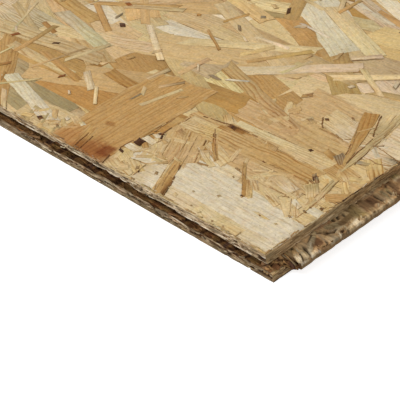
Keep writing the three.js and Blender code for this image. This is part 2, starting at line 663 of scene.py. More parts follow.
def strandWood(name, look):
    material, tree, shader = newMaterial(name)
    uv, place = placesOn(tree)
    across = makeNode(tree, "ShaderNodeSeparateXYZ", Vector=uv).outputs["Y"]

    # two tints meet along the strand with a ragged border
    ragged = noiseAt(tree, uv, 60, 220, 3.0)
    along = timesPlus(tree, ragged, 0.5, minus(tree, readAttribute(tree, "along"), 0.25))
    near, far = (readAttribute(tree, label, "Color") for label in ("tint", "tintFar"))
    color = mixColor(tree, smoothStep(tree, along, 0.2, 0.8), near, far)

    # the border of a strand melts into its neighbours in places
    patchy = smoothStep(tree, noise3(tree, place, 160.0, 2.0), 0.42, 0.6)
    melt = times(tree, readAttribute(tree, "soft"), patchy)
    color = mixColor(tree, times(tree, melt, look["softShare"]), color, opaque("sand"))

    # fibres and streaks along the grain, pepper and blotches over it
    fibre = noiseAt(tree, uv, 90, 1500, 3.0, 0.65)
    pepper = noise3(tree, place, 850.0, 1.0)
    fields = {
        "fibre": fibre,
        "streak": noiseAt(tree, uv, 45, 480, 2.0),
        "pepper": pepper,
        "blotch": noise3(tree, place, 230.0, 2.0),
    }
    shade = 1.0
    for key, field in fields.items():
        factor = timesPlus(tree, field, look[key] * 4, 1.0 - look[key] * 2)
        shade = factor if shade == 1.0 else times(tree, shade, factor)
    color = mixColor(tree, 1.0, color, greyOf(tree, shade), "MULTIPLY")
    yellow = smoothStep(tree, noiseAt(tree, uv, 170, 560, 2.0), 0.42, 0.66)
    color = darker(tree, color, times(tree, yellow, look["yellow"]), (0.99, 0.95, 0.80))
    pink = smoothStep(tree, noiseAt(tree, uv, 210, 480, 1.0), 0.55, 0.72)
    color = darker(tree, color, times(tree, pink, 0.6), (1.02, 0.94, 0.91))

    # short dark lines along the grain
    lines = smoothStep(tree, noiseAt(tree, uv, 42, 820, 1.0), 0.62, 0.72)
    color = darker(tree, color, times(tree, lines, look["line"]), (0.62, 0.48, 0.32))

    # growth lines: a saw of the distance across the grain, wavering along it
    bent = timesPlus(tree, noiseAt(tree, uv, 22, 60, 2.0), 0.009, across)
    turns = math2(tree, "DIVIDE", times(tree, bent, 1000.0), readAttribute(tree, "ringPitch"))
    saw = math2(tree, "FRACT", turns)
    fall = minus(tree, 1.0, smoothStep(tree, saw, 0.9, 1.0))
    late = times(tree, smoothStep(tree, saw, 0.35, 0.85), fall)
    patchy = smoothStep(tree, noiseAt(tree, uv, 35, 160, 2.0), 0.3, 0.62)
    ring = times(tree, times(tree, late, patchy), readAttribute(tree, "ringStrength"))
    color = darker(tree, color, ring, (0.60, 0.42, 0.23))

    specks = smoothStep(tree, noiseAt(tree, uv, 520, 900, 1.0), 0.71, 0.80)
    color = darker(tree, color, times(tree, specks, look["speck"]), (0.42, 0.30, 0.17))

    # painted shade on the rims where strands step down to their neighbours, together with the dark of the
    # gaps between them; it shows in places and vanishes in others
    shown = smoothStep(tree, noise3(tree, place, 70.0, 2.0), 0.38, 0.62)
    dark = look["rimDark"]
    rim = times(tree, readAttribute(tree, "rim"), shown)
    color = darker(tree, color, rim, (dark, dark * 0.8, dark * 0.6))

    # resin and bark stains soak into several strands at once
    for *stain, tone in look["stains"]:
        color = darker(tree, color, stainWeight(tree, place, *stain), tone)

    rough = timesPlus(tree, fibre, 0.2, look["roughness"] - 0.1)
    height = math2(tree, "ADD", timesPlus(tree, ring, 0.3, fibre), times(tree, pepper, 1.2))
    finishWood(tree, shader, color, rough, height, look["bump"])
    return material


faceWood = strandWood("pressedStrands", strandWoodLook)
tornWoodLook = {
    **strandWoodLook,
    "fibre": 0.16,
    "streak": 0.14,
    "line": 0.6,
    "rimDark": 0.4,
    "roughness": 0.75,
    "bump": 0.8,
    "stains": [],
}
tornWood = strandWood("tornStrands", tornWoodLook)


def cellsOf(tree, cells):
    # three random values of each cell, and the distance to its edge
    flat = {"voronoi_dimensions": "2D"}
    cell = makeNode(tree, "ShaderNodeTexVoronoi", flat, Vector=cells, Scale=1.0).outputs["Color"]
    flat["feature"] = "DISTANCE_TO_EDGE"
    edge = makeNode(tree, "ShaderNodeTexVoronoi", flat, Vector=cells, Scale=1.0).outputs["Distance"]
    return makeNode(tree, "ShaderNodeSeparateXYZ", Vector=cell).outputs, edge


def swayed(tree, uv, **shift):
    return vectorMath(tree, "ADD", i0=uv, i1=makeNode(tree, "ShaderNodeCombineXYZ", **shift).outputs[0])


def sawnFields(tree, uv):
    # cut strand ends: lens shapes in wavering layers, some dropped out
    bent = swayed(tree, uv, Y=times(tree, noiseAt(tree, uv, 28, 40, 2.0), 0.003))
    parts, edge = cellsOf(tree, scaled(tree, bent, 95, 1150))
    return {
        "tone": parts["X"],
        "recess": parts["Y"],
        "crack": minus(tree, 1.0, smoothStep(tree, edge, 0.03, 0.22)),
        "pit": smoothStep(tree, noiseAt(tree, bent, 130, 900, 2.0), 0.56, 0.66),
        "wave": noiseAt(tree, uv, 60, 300, 2.0),
    }


def tornFields(tree, uv):
    # torn wood: patches of broken fibres that mostly point out from the board
    sway = times(tree, noiseAt(tree, uv, 120, 160, 2.0), 0.006)
    bent = swayed(tree, uv, X=sway, Y=sway)
    parts, edge = cellsOf(tree, scaled(tree, bent, 190, 110))
    angle = timesPlus(tree, parts["Z"], 1.1, -0.55)
    turn = {"rotation_type": "Z_AXIS"}
    turned = makeNode(tree, "ShaderNodeVectorRotate", turn, Vector=bent, Angle=angle).outputs[0]
    crack = minus(tree, 1.0, smoothStep(tree, edge, 0.02, 0.10))
    return {
        "tone": parts["X"],
        "recess": parts["Y"],
        "crack": times(tree, crack, smoothStep(tree, noiseAt(tree, uv, 190, 190, 1.0), 0.52, 0.62)),
        "pit": smoothStep(tree, noiseAt(tree, bent, 520, 160, 2.0), 0.62, 0.70),
        "wave": noiseAt(tree, turned, 900, 110, 3.0, 0.6),
    }


# How deep each field cuts into a sheet, in millimetres; spare is the depth that is taken off again.
sheetLooks = {
    "sawn": {
        "fields": sawnFields,
        "recess": 0.45,
        "crack": 0.20,
        "pit": 0.85,
        "wave": 0.55,
        "spare": 0.66,
        "toneContrast": 0.8,
    },
    "torn": {
        "fields": tornFields,
        "recess": 0.35,
        "crack": 0.25,
        "pit": 0.55,
        "wave": 0.60,
        "spare": 0.45,
        "toneContrast": 0.3,
    },
}


def reliefGroup(name, look):
    tree = bpy.data.node_groups.new(name, "GeometryNodeTree")
    for way in ("INPUT", "OUTPUT"):
        tree.interface.new_socket("Geometry", in_out=way, socket_type="NodeSocketGeometry")
    start = tree.nodes.new("NodeGroupInput")
    end = tree.nodes.new("NodeGroupOutput")
    uv, rough = (
        makeNode(tree, "GeometryNodeInputNamedAttribute", {"data_type": kind}, Name=label).outputs[0]
        for kind, label in (("FLOAT_VECTOR", "grain"), ("FLOAT", "rough"))
    )
    fields = look["fields"](tree, uv)
    depth = -look["spare"] * mm
    for key in ("recess", "crack", "pit", "wave"):
        depth = timesPlus(tree, fields[key], look[key] * mm, depth)
    depth = times(tree, math2(tree, "MAXIMUM", depth, 0.0), rough)
    normal = makeNode(tree, "GeometryNodeInputNormal").outputs[0]
    offset = vectorMath(tree, "SCALE", i0=normal, Scale=times(tree, depth, -1.0))
    moved = makeNode(tree, "GeometryNodeSetPosition", Geometry=start.outputs[0], Offset=offset)
    link(tree, moved.outputs[0], end.inputs[0])
    return tree


def sheetWood(name, look, fibreScale, dark):
    material, tree, shader = newMaterial(name)
    uv, place = placesOn(tree)
    fields = look["fields"](tree, uv)
    fibre = noiseAt(tree, uv, *fibreScale, 3.0, 0.65)
    contrast = timesPlus(tree, readAttribute(tree, "rough"), 0.6, 0.4)

    def around(field, share):
        # a factor that varies with a field around 1
        return timesPlus(tree, minus(tree, fields[field], 0.5), times(tree, contrast, share), 1.0)

    fine = timesPlus(tree, fibre, 0.6, 0.7)
    fine = times(tree, fine, timesPlus(tree, noise3(tree, place, 900.0), 0.4, 0.8))
    shade = times(tree, around("tone", look["toneContrast"]), around("wave", 1.1))
    shade = greyOf(tree, times(tree, shade, fine))
    color = mixColor(tree, 1.0, readAttribute(tree, "tint", "Color"), shade, "MULTIPLY")

    # pale torn fibres where the fringe is strong
    ends = timesPlus(tree, fields["wave"], 0.9, timesPlus(tree, fields["tone"], 0.5, -0.7))
    pale = smoothStep(tree, math2(tree, "ADD", readAttribute(tree, "fringe"), ends), 0.45, 0.85)
    paleTone = mixColor(tree, 1.0, opaque("lipPale"), greyOf(tree, fine), "MULTIPLY")
    color = mixColor(tree, times(tree, pale, 0.75), color, paleTone)
    warm = smoothStep(tree, noiseAt(tree, uv, 45, 110, 2.0), 0.52, 0.68)
    color = darker(tree, color, times(tree, warm, 0.4), (0.94, 0.80, 0.64))
    # painted shade in the cracks and pits, which the relief also sinks in
    depth = times(tree, math2(tree, "MAXIMUM", fields["crack"], fields["pit"]), contrast)
    color = darker(tree, color, times(tree, depth, 0.7), dark)
    height = math2(tree, "ADD", fibre, times(tree, fields["wave"], 0.8))
    finishWood(tree, shader, color, timesPlus(tree, fibre, 0.2, 0.68), height, 0.6)
    return material


# The relief and the wood of each kind of sheet; the last tone is the painted shade in its cracks and pits.
reliefs = {kind: reliefGroup(kind + "Relief", look) for kind, look in sheetLooks.items()}
sheetWoods = {
    "sawn": sheetWood("sawnEdge", sheetLooks["sawn"], (160, 1500), (0.40, 0.29, 0.18)),
    "torn": sheetWood("tornEdge", sheetLooks["torn"], (1700, 130), (0.36, 0.24, 0.14)),
}


def anyShape(random):
    return int(random.integers(0, 8))


def varied(random, tone, spread=0.07):
    base = linear(tones[tone])
    return np.clip(base * random.normal(1, spread) * random.normal(1, spread * 0.25, 3), 0.005, 0.95)


def flatAxes(angle, up=1, tilt=0.0):
    along = (math.cos(angle), math.sin(angle), tilt)
    across = (-math.sin(angle) * up, math.cos(angle) * up, 0)
    return along, across, (0, 0, up)


# The strands of a face: lower layers cover it, upper ones and slivers lie on them.
faceLayers = [
    {
        "kind": "broad", "pitch": (66, 19), "depth": (0.72, 0.80),
        "length": (95, 135), "width": (26, 38), "turn": 7,
    },
    {
        "kind": "broad", "pitch": (84, 25), "depth": (0.54, 0.66),
        "length": (80, 135), "width": (18, 40), "turn": 12,
    },
    {
        "kind": "middle", "pitch": (66, 22), "depth": (0.36, 0.50),
        "length": (60, 120), "width": (9, 24), "turn": 20,
    },
    {
        "kind": "narrow", "pitch": (60, 24), "depth": (0.22, 0.34),
        "length": (35, 85), "width": (4, 12), "turn": 32,
    },
    {
        "kind": "sliver", "pitch": (38, 20), "depth": (0.10, 0.20),
        "length": (12, 38), "width": (1.5, 4.5), "turn": 60,
    },
    {
        "kind": "chip", "pitch": (30, 26), "depth": (0.02, 0.09),
        "length": (2.5, 8), "width": (1.2, 3.2), "turn": 90,
    },
]
faceTones = [
    "cream", "paleSand", "paleSand", "straw", "straw", "sand", "sand", "tan", "tan", "pinkTan", "honey",
    "yellow", "amber", "pinkBrown", "olive",
]
chipTones = ["bark", "rust", "amber", "honey", "cream", "paleSand", "grey", "tan", "tan", "sand"]

# Places near the corner where the groove side and the tongue side meet are measured from it: back
# along the long side, then in from the groove side, both in millimetres. Strands and marks are
# placed one by one within the corner zone and along both sides as far as the two marked lengths.
markedBack = 188
markedRun = 88
cornerZone = {"back": markedBack, "inward": 118, "slope": 0.75, "margin": 14}


def inCornerZone(x, y, margin=0.0):
    back, inward = (faceEast - x) / mm, (y - low.y) / mm
    if back > cornerZone["back"] + margin or inward > cornerZone["inward"] + margin:
        return False
    return inward < (cornerZone["back"] - back) * cornerZone["slope"] + margin


def strewFace(batch, random, up, east, north, layers, keepOut):
    for index, layer in enumerate(layers):
        stepX, stepY = layer["pitch"][0] * mm, layer["pitch"][1] * mm
        countX, countY = int((east - low.x) / stepX) + 3, int((north - low.y) / stepY) + 3
        for i in range(countX):
            for j in range(countY):
                x = low.x + (i - 1 + random.uniform(0, 1)) * stepX + (j % 2) * stepX / 2
                y = low.y + (j - 1 + random.uniform(0, 1)) * stepY
                length = random.uniform(*layer["length"]) * mm
                width = random.uniform(*layer["width"]) * mm
                turn = math.radians(random.normal(0, layer["turn"]))
                tone = random.choice(chipTones if layer["kind"] == "chip" else faceTones)
                lined = random.uniform(0, 1) ** 2 * 0.8
                pitch = random.uniform(1.3, 3.2)
                depth = random.uniform(*layer["depth"]) * mm
                tilt = random.normal(0, 0.0006)
                pick = int(random.integers(0, 12))
                tint, far = varied(random, tone), varied(random, tone, 0.12)
                besideX = x > east + length / 3 or x < low.x - length / 3
                besideY = y < low.y - width / 3 or y > north + width / 3
                if besideX or besideY:
                    continue
                if keepOut and index > 1 and inCornerZone(x, y, cornerZone["margin"]):
                    continue
                at = (x, y, topZ - depth if up > 0 else depth)
                axes = flatAxes(turn, up, tilt)
                addStrand(batch, layer["kind"], pick, at, axes, length, width, tint, (lined, pitch), far)


def placeInCorner(batch, random, kind, ends, width, tone, rings, level, pick, toneFar=None):
    # ends: (back, inward) of both ends of the strand's middle line
    start, end = fromCorner(*ends[0]), fromCorner(*ends[1])
    run = Vector((end[0] - start[0], end[1] - start[1]))
    angle = math.atan2(run.y, run.x)
    middle = ((start[0] + end[0]) / 2, (start[1] + end[1]) / 2, topZ - level * mm)
    tint, far = varied(random, tone, 0.02), varied(random, toneFar or tone, 0.03)
    addStrand(batch, kind, pick, middle, flatAxes(angle), run.length, width * mm, tint, rings, far)


cornerStrands = [
    # kind, both ends, width, tone, (line strength, pitch), level, pick, and the second end's tone
    # where it differs
    # the ground between the large strands
    ("wide", ((100, 38), (-12, 36)), 34, "pinkTan", (0.2, 3.2), 0.52, 0, "straw"),
    ("wide", ((130, 10), (60, 12)), 34, "straw", (0.3, 2.6), 0.53, 1, "paleSand"),
    ("wide", ((36, 62), (-12, 60)), 40, "yellow", (0.4, 2.2), 0.5, 2, "straw"),
    ("wide", ((76, 92), (14, 92)), 40, "pinkTan", (0.4, 2.6), 0.51, 1, "sand"),
    ("wide", ((190, 6), (150, 8)), 24, "sand", (0.3, 2.4), 0.505, 0, "straw"),
    # the large cream strand and what lies below it
    ("wide", ((-16, 17.5), (82, 19)), 20, "cream", (0.1, 3.5), 0.36, 0),
    ("wide", ((76, 22.6), (24, 23.4)), 16, "cream", (0.08, 3.5), 0.38, 2),
    ("plate", ((80, 33.5), (52, 33.5)), 8, "cream", (0.15, 3), 0.4, 1, "paleSand"),
    ("wide", ((72, 5), (20, 5)), 13, "paleSand", (0.3, 2.4), 0.41, 1, "paleYellow"),
    ("plate", ((40, 3.2), (20.6, 3.6)), 7, "paleYellow", (0.4, 2.2), 0.355, 2, "straw"),
    ("plate", ((51, 5.4), (38, 2.5)), 5, "paleYellow", (0.3, 2.2), 0.356, 0, "paleSand"),
    ("strip", ((24.7, 4.2), (-6, 4.8)), 9, "paleSand", (0.2, 2.5), 0.39, 1, "cream"),
    # the amber strip that crosses its end
    ("strip", ((86.4, 24.6), (73.2, -1.5)), 5.4, "honey", (0.6, 1.6), 0.17, 0),
    ("sliver", ((89.4, 23.8), (77.6, 0)), 2, "straw", (0.5, 1.2), 0.13, 1, "tan"),
    ("sliver", ((78.2, 13), (71.2, -2)), 1.9, "amber", (0.3, 1.2), 0.12, 0, "edgeDark"),
    ("chip", ((90.6, 24.9), (84, 24.2)), 1.7, "straw", (0.5, 1), 0.11, 1, "yellow"),
    # split sliver
    ("sliver", ((59.4, 43.2), (39.6, 24)), 2.1, "honey", (0.6, 1), 0.12, 1, "amber"),
    ("sliver", ((48.6, 34.6), (38, 24.9)), 2.3, "honey", (0.5, 1.1), 0.15, 2, "tan"),
    ("plate", ((43.6, 31.6), (36.4, 25)), 2.6, "tan", (0.3, 1.4), 0.17, 1, "yellow"),
    ("chip", ((41.7, 24.1), (39.5, 23.9)), 1, "darkBrown", (0, 2), 0.08, 0, "edgeDark"),
    # tan strand across the grain
    ("plate", ((112, 45), (100, 24)), 13, "tan", (0.35, 2.2), 0.345, 2, "sand"),
    ("plate", ((100.5, 48), (85, 22.5)), 19.5, "tan", (0.6, 1.9), 0.33, 1, "pinkTan"),
    ("chip", ((107, 42.8), (101, 40.6)), 4.2, "edgeBrown", (0.5, 1.2), 0.3, 1, "tan"),
    ("strip", ((92.6, 54.5), (72.6, 36.4)), 3, "tan", (0.5, 1.6), 0.23, 2, "pinkTan"),
    ("sliver", ((89.2, 51), (79, 41)), 2, "edgeDark", (0.6, 1.2), 0.215, 0, "amber"),
    ("sliver", ((84.4, 46), (71.6, 36)), 2.6, "amber", (0.6, 1.4), 0.21, 1, "honey"),
    ("taper", ((69.5, 31.4), (87.4, 38.3)), 3.8, "straw", (0.6, 1.4), 0.235, 1, "paleSand"),
    ("plate", ((86, 45), (66, 37.5)), 7, "sand", (0.6, 1.6), 0.25, 3, "straw"),
    ("sliver", ((78.4, 29.3), (71.6, 30.7)), 1.3, "smudge", (0.5, 1.4), 0.22, 1, "edgeBrown"),
    # pink brown strand with its red end
    ("wide", ((137, 76), (137, -16)), 41, "pinkBrown", (0.4, 2.6), 0.22, 1),
    ("strip", ((144.2, 18), (136.4, -2)), 6.2, "honey", (0.5, 1.8), 0.16, 0, "amber"),
    ("strip", ((113.5, 50.6), (113.4, 35.6)), 5, "honey", (0.4, 1.8), 0.2, 1, "amber"),
    ("chip", ((152.8, 16.8), (149.2, 15.4)), 2.8, "straw", (0.1, 1.4), 0.15, 0, "cream"),
    # long ringed strand and the pale lined end over it
    ("wide", ((112, 54), (23, 54.5)), 13, "tan", (0.8, 2.1), 0.26, 0, "honey"),
    ("strip", ((110, 51), (88.5, 51.6)), 11, "straw", (0.85, 1.15), 0.22, 0, "yellow"),
    ("strip", ((100, 46.4), (24, 49.2)), 2.2, "tan", (0.3, 1.6), 0.24, 1),
    # olive and tan strands above it
    ("strip", ((89, 64.6), (18, 68)), 5.2, "paleYellow", (0.6, 1.7), 0.29, 0, "straw"),
    ("wide", ((76, 65), (30, 68.4)), 4.6, "paleYellow", (0.5, 1.9), 0.27, 1, "straw"),
    ("wide", ((96, 76), (22, 77)), 15, "pinkTan", (0.3, 3), 0.3, 1, "tan"),
    ("strip", ((62, 86), (20, 84)), 5, "tan", (0.4, 2), 0.28, 1, "pinkTan"),
    ("chip", ((42.2, 70.2), (40, 69.9)), 1.7, "darkBrown", (0, 2), 0.12, 0, "bark"),
    ("chip", ((35.4, 74.4), (27.6, 72.4)), 4.2, "honey", (0.3, 2), 0.23, 1, "amber"),
    ("sliver", ((88.6, 60.6), (78, 60.4)), 2.6, "edgeDark", (0.5, 1.2), 0.13, 0, "amber"),
    ("chip", ((87.4, 60.8), (83.6, 60)), 2, "bark", (0.5, 1), 0.12, 1, "edgeDark"),
    ("sliver", ((80, 60.8), (64, 61.6)), 1.2, "amber", (0.5, 1.2), 0.14, 1, "tan"),
    ("plate", ((92.4, 57.2), (84.6, 57.8)), 3.2, "amber", (0.7, 1.2), 0.17, 0, "honey"),
    ("chip", ((62.8, 60.8), (54.8, 60.6)), 3.8, "honey", (0.7, 0.8), 0.09, 1, "tan"),
    ("plate", ((97, 66.6), (89.6, 61.6)), 4.4, "tan", (0.95, 1.3), 0.19, 2, "sand"),
    ("plate", ((83, 75.6), (73, 74.6)), 3.6, "tan", (0.9, 1.1), 0.21, 1),
    ("plate", ((75, 80.6), (64, 78.6)), 3.8, "tan", (0.7, 1.2), 0.215, 2, "pinkTan"),
    ("chip", ((61.4, 89), (56, 87.6)), 2.8, "smudge", (0.5, 1.2), 0.2, 0, "tan"),
    # lower middle ground
    ("strip", ((66, 41), (18, 41.5)), 9, "pinkTan", (0.3, 2.6), 0.44, 0, "sand"),
    ("strip", ((64, 35.8), (28, 36.4)), 4, "straw", (0.5, 1.6), 0.42, 2, "sand"),
    ("plate", ((49, 33.4), (27, 32.8)), 5.6, "sand", (0.45, 1.6), 0.34, 2, "straw"),
    ("chip", ((42.7, 44.8), (40.2, 40.7)), 3.6, "smudge", (0.3, 1.6), 0.3, 1, "tan"),
    ("sliver", ((32, 31.4), (25.4, 30)), 0.9, "edgeBrown", (0, 2), 0.2, 0, "honey"),
    ("chip", ((59.6, 37.8), (57.2, 37.4)), 1.3, "smudge", (0, 2), 0.2, 0),
    ("strip", ((96, 9), (80, 9.5)), 19, "paleSand", (0.2, 2.5), 0.38, 1, "cream"),
    ("plate", ((109.6, 15.4), (92.4, 18.6)), 8.4, "cream", (0.2, 2), 0.3, 0),
    ("plate", ((106, 20.6), (91, 21.4)), 3, "paleSand", (0.4, 1.6), 0.29, 1, "sand"),
    ("plate", ((118, 5.8), (97, 0.2)), 8, "straw", (0.85, 1.7), 0.36, 3),
    ("plate", ((105, 11), (95, 6.6)), 5.4, "straw", (0.5, 1.5), 0.32, 2, "yellow"),
    ("sliver", ((89.8, 20.8), (97.4, 12.8)), 2.2, "tan", (0.4, 1.4), 0.26, 1, "sand"),
    ("plate", ((116, 13), (108, 10)), 7.5, "yellow", (0.4, 1.6), 0.28, 1, "straw"),
    ("plate", ((118.4, 18.4), (109.4, 18)), 4, "cream", (0.2, 2), 0.17, 2, "paleSand"),
    ("chip", ((88.2, 12.2), (86.8, 10)), 1.8, "smudge", (0, 2), 0.22, 0),
    ("chip", ((99.4, 9.6), (97.6, 7.4)), 1.9, "smudge", (0, 2), 0.22, 1),
    ("chip", ((96.2, 7.2), (95, 6.2)), 0.9, "darkBrown", (0, 2), 0.2, 1),
    # dark bits beside the pink brown strand
    ("chip", ((117.4, 23.8), (112, 23.3)), 4.8, "bark", (0.6, 1.2), 0.14, 1, "darkBrown"),
    ("chip", ((112.6, 24.6), (107.6, 22)), 3.4, "amber", (0.4, 1.4), 0.15, 0, "honey"),
    ("chip", ((112.4, 34.6), (109, 34.8)), 1.5, "bark", (0.2, 2), 0.12, 2, "darkBrown"),
    ("chip", ((109.4, 34.2), (107.6, 31.4)), 1.3, "darkBrown", (0.2, 2), 0.11, 0, "bark"),
    ("chip", ((118.2, 13.4), (114.4, 12.5)), 1.5, "darkBrown", (0, 2), 0.08, 1, "bark"),
    ("plate", ((115.8, 28), (107, 27)), 3.8, "cream", (0.5, 1.3), 0.13, 0, "paleSand"),
    ("chip", ((113.6, 32.9), (109.2, 31.6)), 2.6, "paleSand", (0.3, 1.4), 0.14, 2, "cream"),
    ("chip", ((175.6, 6.8), (171.8, 5.8)), 2.6, "bark", (0.5, 1.2), 0.12, 0, "edgeDark"),
    ("chip", ((163, 14.8), (160, 14)), 2.2, "paleSand", (0, 2), 0.13, 1, "cream"),
    ("chip", ((170, 10), (166.4, 9)), 2.2, "straw", (0, 2), 0.13, 2, "paleSand"),
    ("plate", ((160, 18), (152, 15)), 4.5, "sand", (0.3, 1.6), 0.18, 2, "tan"),
    ("chip", ((161.6, 7.6), (160, 6.6)), 1.2, "edgeDark", (0, 2), 0.12, 0, "smudge"),
    # amber strand and olive strip that meet in a point
    ("taper", ((39.4, 111), (20, 70.8)), 8.6, "amber", (0.6, 2.2), 0.16, 0, "honey"),
    ("strip", ((25.6, 119), (20, 84)), 4.4, "olive", (0.5, 1.6), 0.15, 1, "oliveGrey"),
    ("taper", ((20.6, 90), (17.2, 66.4)), 4.6, "olive", (0.5, 1.6), 0.14, 1),
    ("strip", ((31, 116), (26, 99)), 5, "straw", (0.3, 1.6), 0.19, 1, "oliveGrey"),
    ("sliver", ((33.8, 94.6), (28.4, 105)), 0.8, "tan", (0, 2), 0.09, 1, "straw"),
    ("sliver", ((19.6, 90.2), (15.4, 94)), 0.9, "smudge", (0.2, 2), 0.1, 2),
    # pale patch
    ("plate", ((56, 96), (31.5, 93)), 15, "straw", (0.6, 1.4), 0.22, 3, "paleSand"),
    ("chip", ((54.2, 94.4), (52.4, 93)), 2, "bark", (0, 2), 0.12, 2, "edgeDark"),
    ("chip", ((41, 86.8), (37.4, 85.8)), 1.1, "edgeDark", (0, 2), 0.12, 0),
    ("chip", ((44.6, 102.6), (42.2, 101)), 1.2, "edgeDark", (0, 2), 0.12, 0, "smudge"),
    # right edge
    ("plate", ((19, 98), (-6, 100)), 24, "pinkCream", (0.4, 2.2), 0.27, 1, "paleSand"),
    ("strip", ((18.4, 84), (-6, 86.4)), 9, "pinkCream", (0.7, 1.7), 0.24, 0, "paleSand"),
    ("strip", ((12.4, 83), (-4.6, 69)), 8.5, "yellow", (0.95, 1.7), 0.22, 2, "honey"),
    ("plate", ((24, 67), (8, 64)), 11, "honey", (0.6, 1.4), 0.26, 0, "tan"),
    ("plate", ((20, 60), (-2, 62)), 9, "yellow", (0.6, 1.4), 0.28, 2, "tan"),
    ("plate", ((17, 66.8), (10, 62.6)), 3, "honey", (0.5, 1.4), 0.2, 1, "straw"),
    ("strip", ((14.4, 59), (10.8, 43)), 3.2, "olive", (0.6, 1.1), 0.14, 0, "sand"),
    ("sliver", ((12.2, 49), (8.9, 31.6)), 2, "olive", (0.4, 1.1), 0.145, 1, "straw"),
    ("chip", ((9.4, 33.8), (7.6, 33)), 1.2, "darkBrown", (0, 2), 0.09, 0, "edgeDark"),
    ("chip", ((9.2, 37.7), (8.1, 36.6)), 1.1, "edgeDark", (0, 2), 0.09, 0),
    ("chip", ((5, 39.9), (3, 39.3)), 1.1, "darkBrown", (0, 2), 0.09, 1, "edgeDark"),
    ("plate", ((9, 46.6), (-4.4, 56.4)), 6.4, "honey", (0.4, 1.6), 0.17, 1),
    ("plate", ((8.5, 36), (-3, 36)), 4.8, "cream", (0.1, 2), 0.13, 2),
    ("plate", ((11, 44), (0, 42.6)), 4.6, "straw", (0.8, 1.2), 0.2, 1, "yellow"),
    ("plate", ((21.4, 50.8), (13.6, 43.6)), 6.4, "oliveGrey", (0.5, 1.3), 0.21, 3, "straw"),
    ("plate", ((36, 48), (22, 44)), 5.5, "straw", (0.5, 1.3), 0.31, 1, "pinkTan"),
    ("plate", ((22.6, 35.4), (10.6, 27.6)), 7.4, "straw", (0.5, 1.5), 0.24, 0),
    ("plate", ((19.4, 36.3), (12.4, 34)), 2.8, "cream", (0.2, 1.3), 0.2, 1, "paleSand"),
    ("plate", ((36, 34), (22, 29.5)), 5, "straw", (0.5, 1.4), 0.27, 1, "sand"),
    ("strip", ((9.6, 29.4), (-6, 29.6)), 7, "straw", (0.3, 1.6), 0.23, 2, "yellow"),
    ("chip", ((12.6, 27), (10.4, 26.2)), 1, "smudge", (0, 2), 0.12, 0),
    # grey lined bits
    ("plate", ((28.2, 75.4), (20.6, 71.6)), 5.4, "grey", (1, 1.2), 0.18, 1, "smudge"),
    ("plate", ((17, 76.4), (10.4, 78.2)), 2.6, "greyBlue", (0.9, 1), 0.15, 2, "oliveGrey"),
    ("chip", ((26.2, 57.4), (22.4, 54.2)), 2.4, "smudge", (0.9, 0.9), 0.15, 1, "bark"),
    ("chip", ((23.6, 55.8), (19.6, 53)), 2, "grey", (0.9, 0.9), 0.13, 1, "smudge"),
    ("chip", ((24, 52.4), (20.8, 51.6)), 1.2, "edgeDark", (0.6, 0.9), 0.14, 0, "edgeBrown"),
    # flecks on the cream strand
    ("chip", ((50.2, 17.5), (48.4, 17.1)), 1.8, "smudge", (0, 2), 0.25, 0, "oliveGrey"),
    ("chip", ((27, 19.6), (18, 18.6)), 1.6, "straw", (0, 2), 0.26, 2, "yellow"),
    ("chip", ((24, 18.9), (22.4, 18.5)), 0.8, "edgeBrown", (0, 2), 0.25, 1, "edgeDark"),
    ("chip", ((13.2, 19), (12, 18.6)), 1.2, "oliveGrey", (0, 2), 0.25, 2),
    ("chip", ((62.5, 12.6), (61.2, 12)), 1, "smudge", (0, 2), 0.25, 0, "oliveGrey"),
    ("chip", ((68.5, 5.6), (65.5, 5)), 2.2, "sand", (0, 2), 0.3, 1, "straw"),
    ("chip", ((48.6, 3.4), (46.8, 2.8)), 2, "straw", (0, 2), 0.3, 2, "oliveGrey"),
    ("chip", ((55, 4.4), (54, 4)), 1, "oliveGrey", (0, 2), 0.3, 2, "smudge"),
    ("chip", ((38, 2.6), (36.8, 1.4)), 1.1, "smudge", (0, 2), 0.28, 0),
    ("chip", ((31, 2.8), (29.6, 1.8)), 1, "smudge", (0, 2), 0.28, 0, "tan"),
    ("chip", ((56, 32.4), (54.6, 31.9)), 0.9, "smudge", (0, 2), 0.28, 1),
]
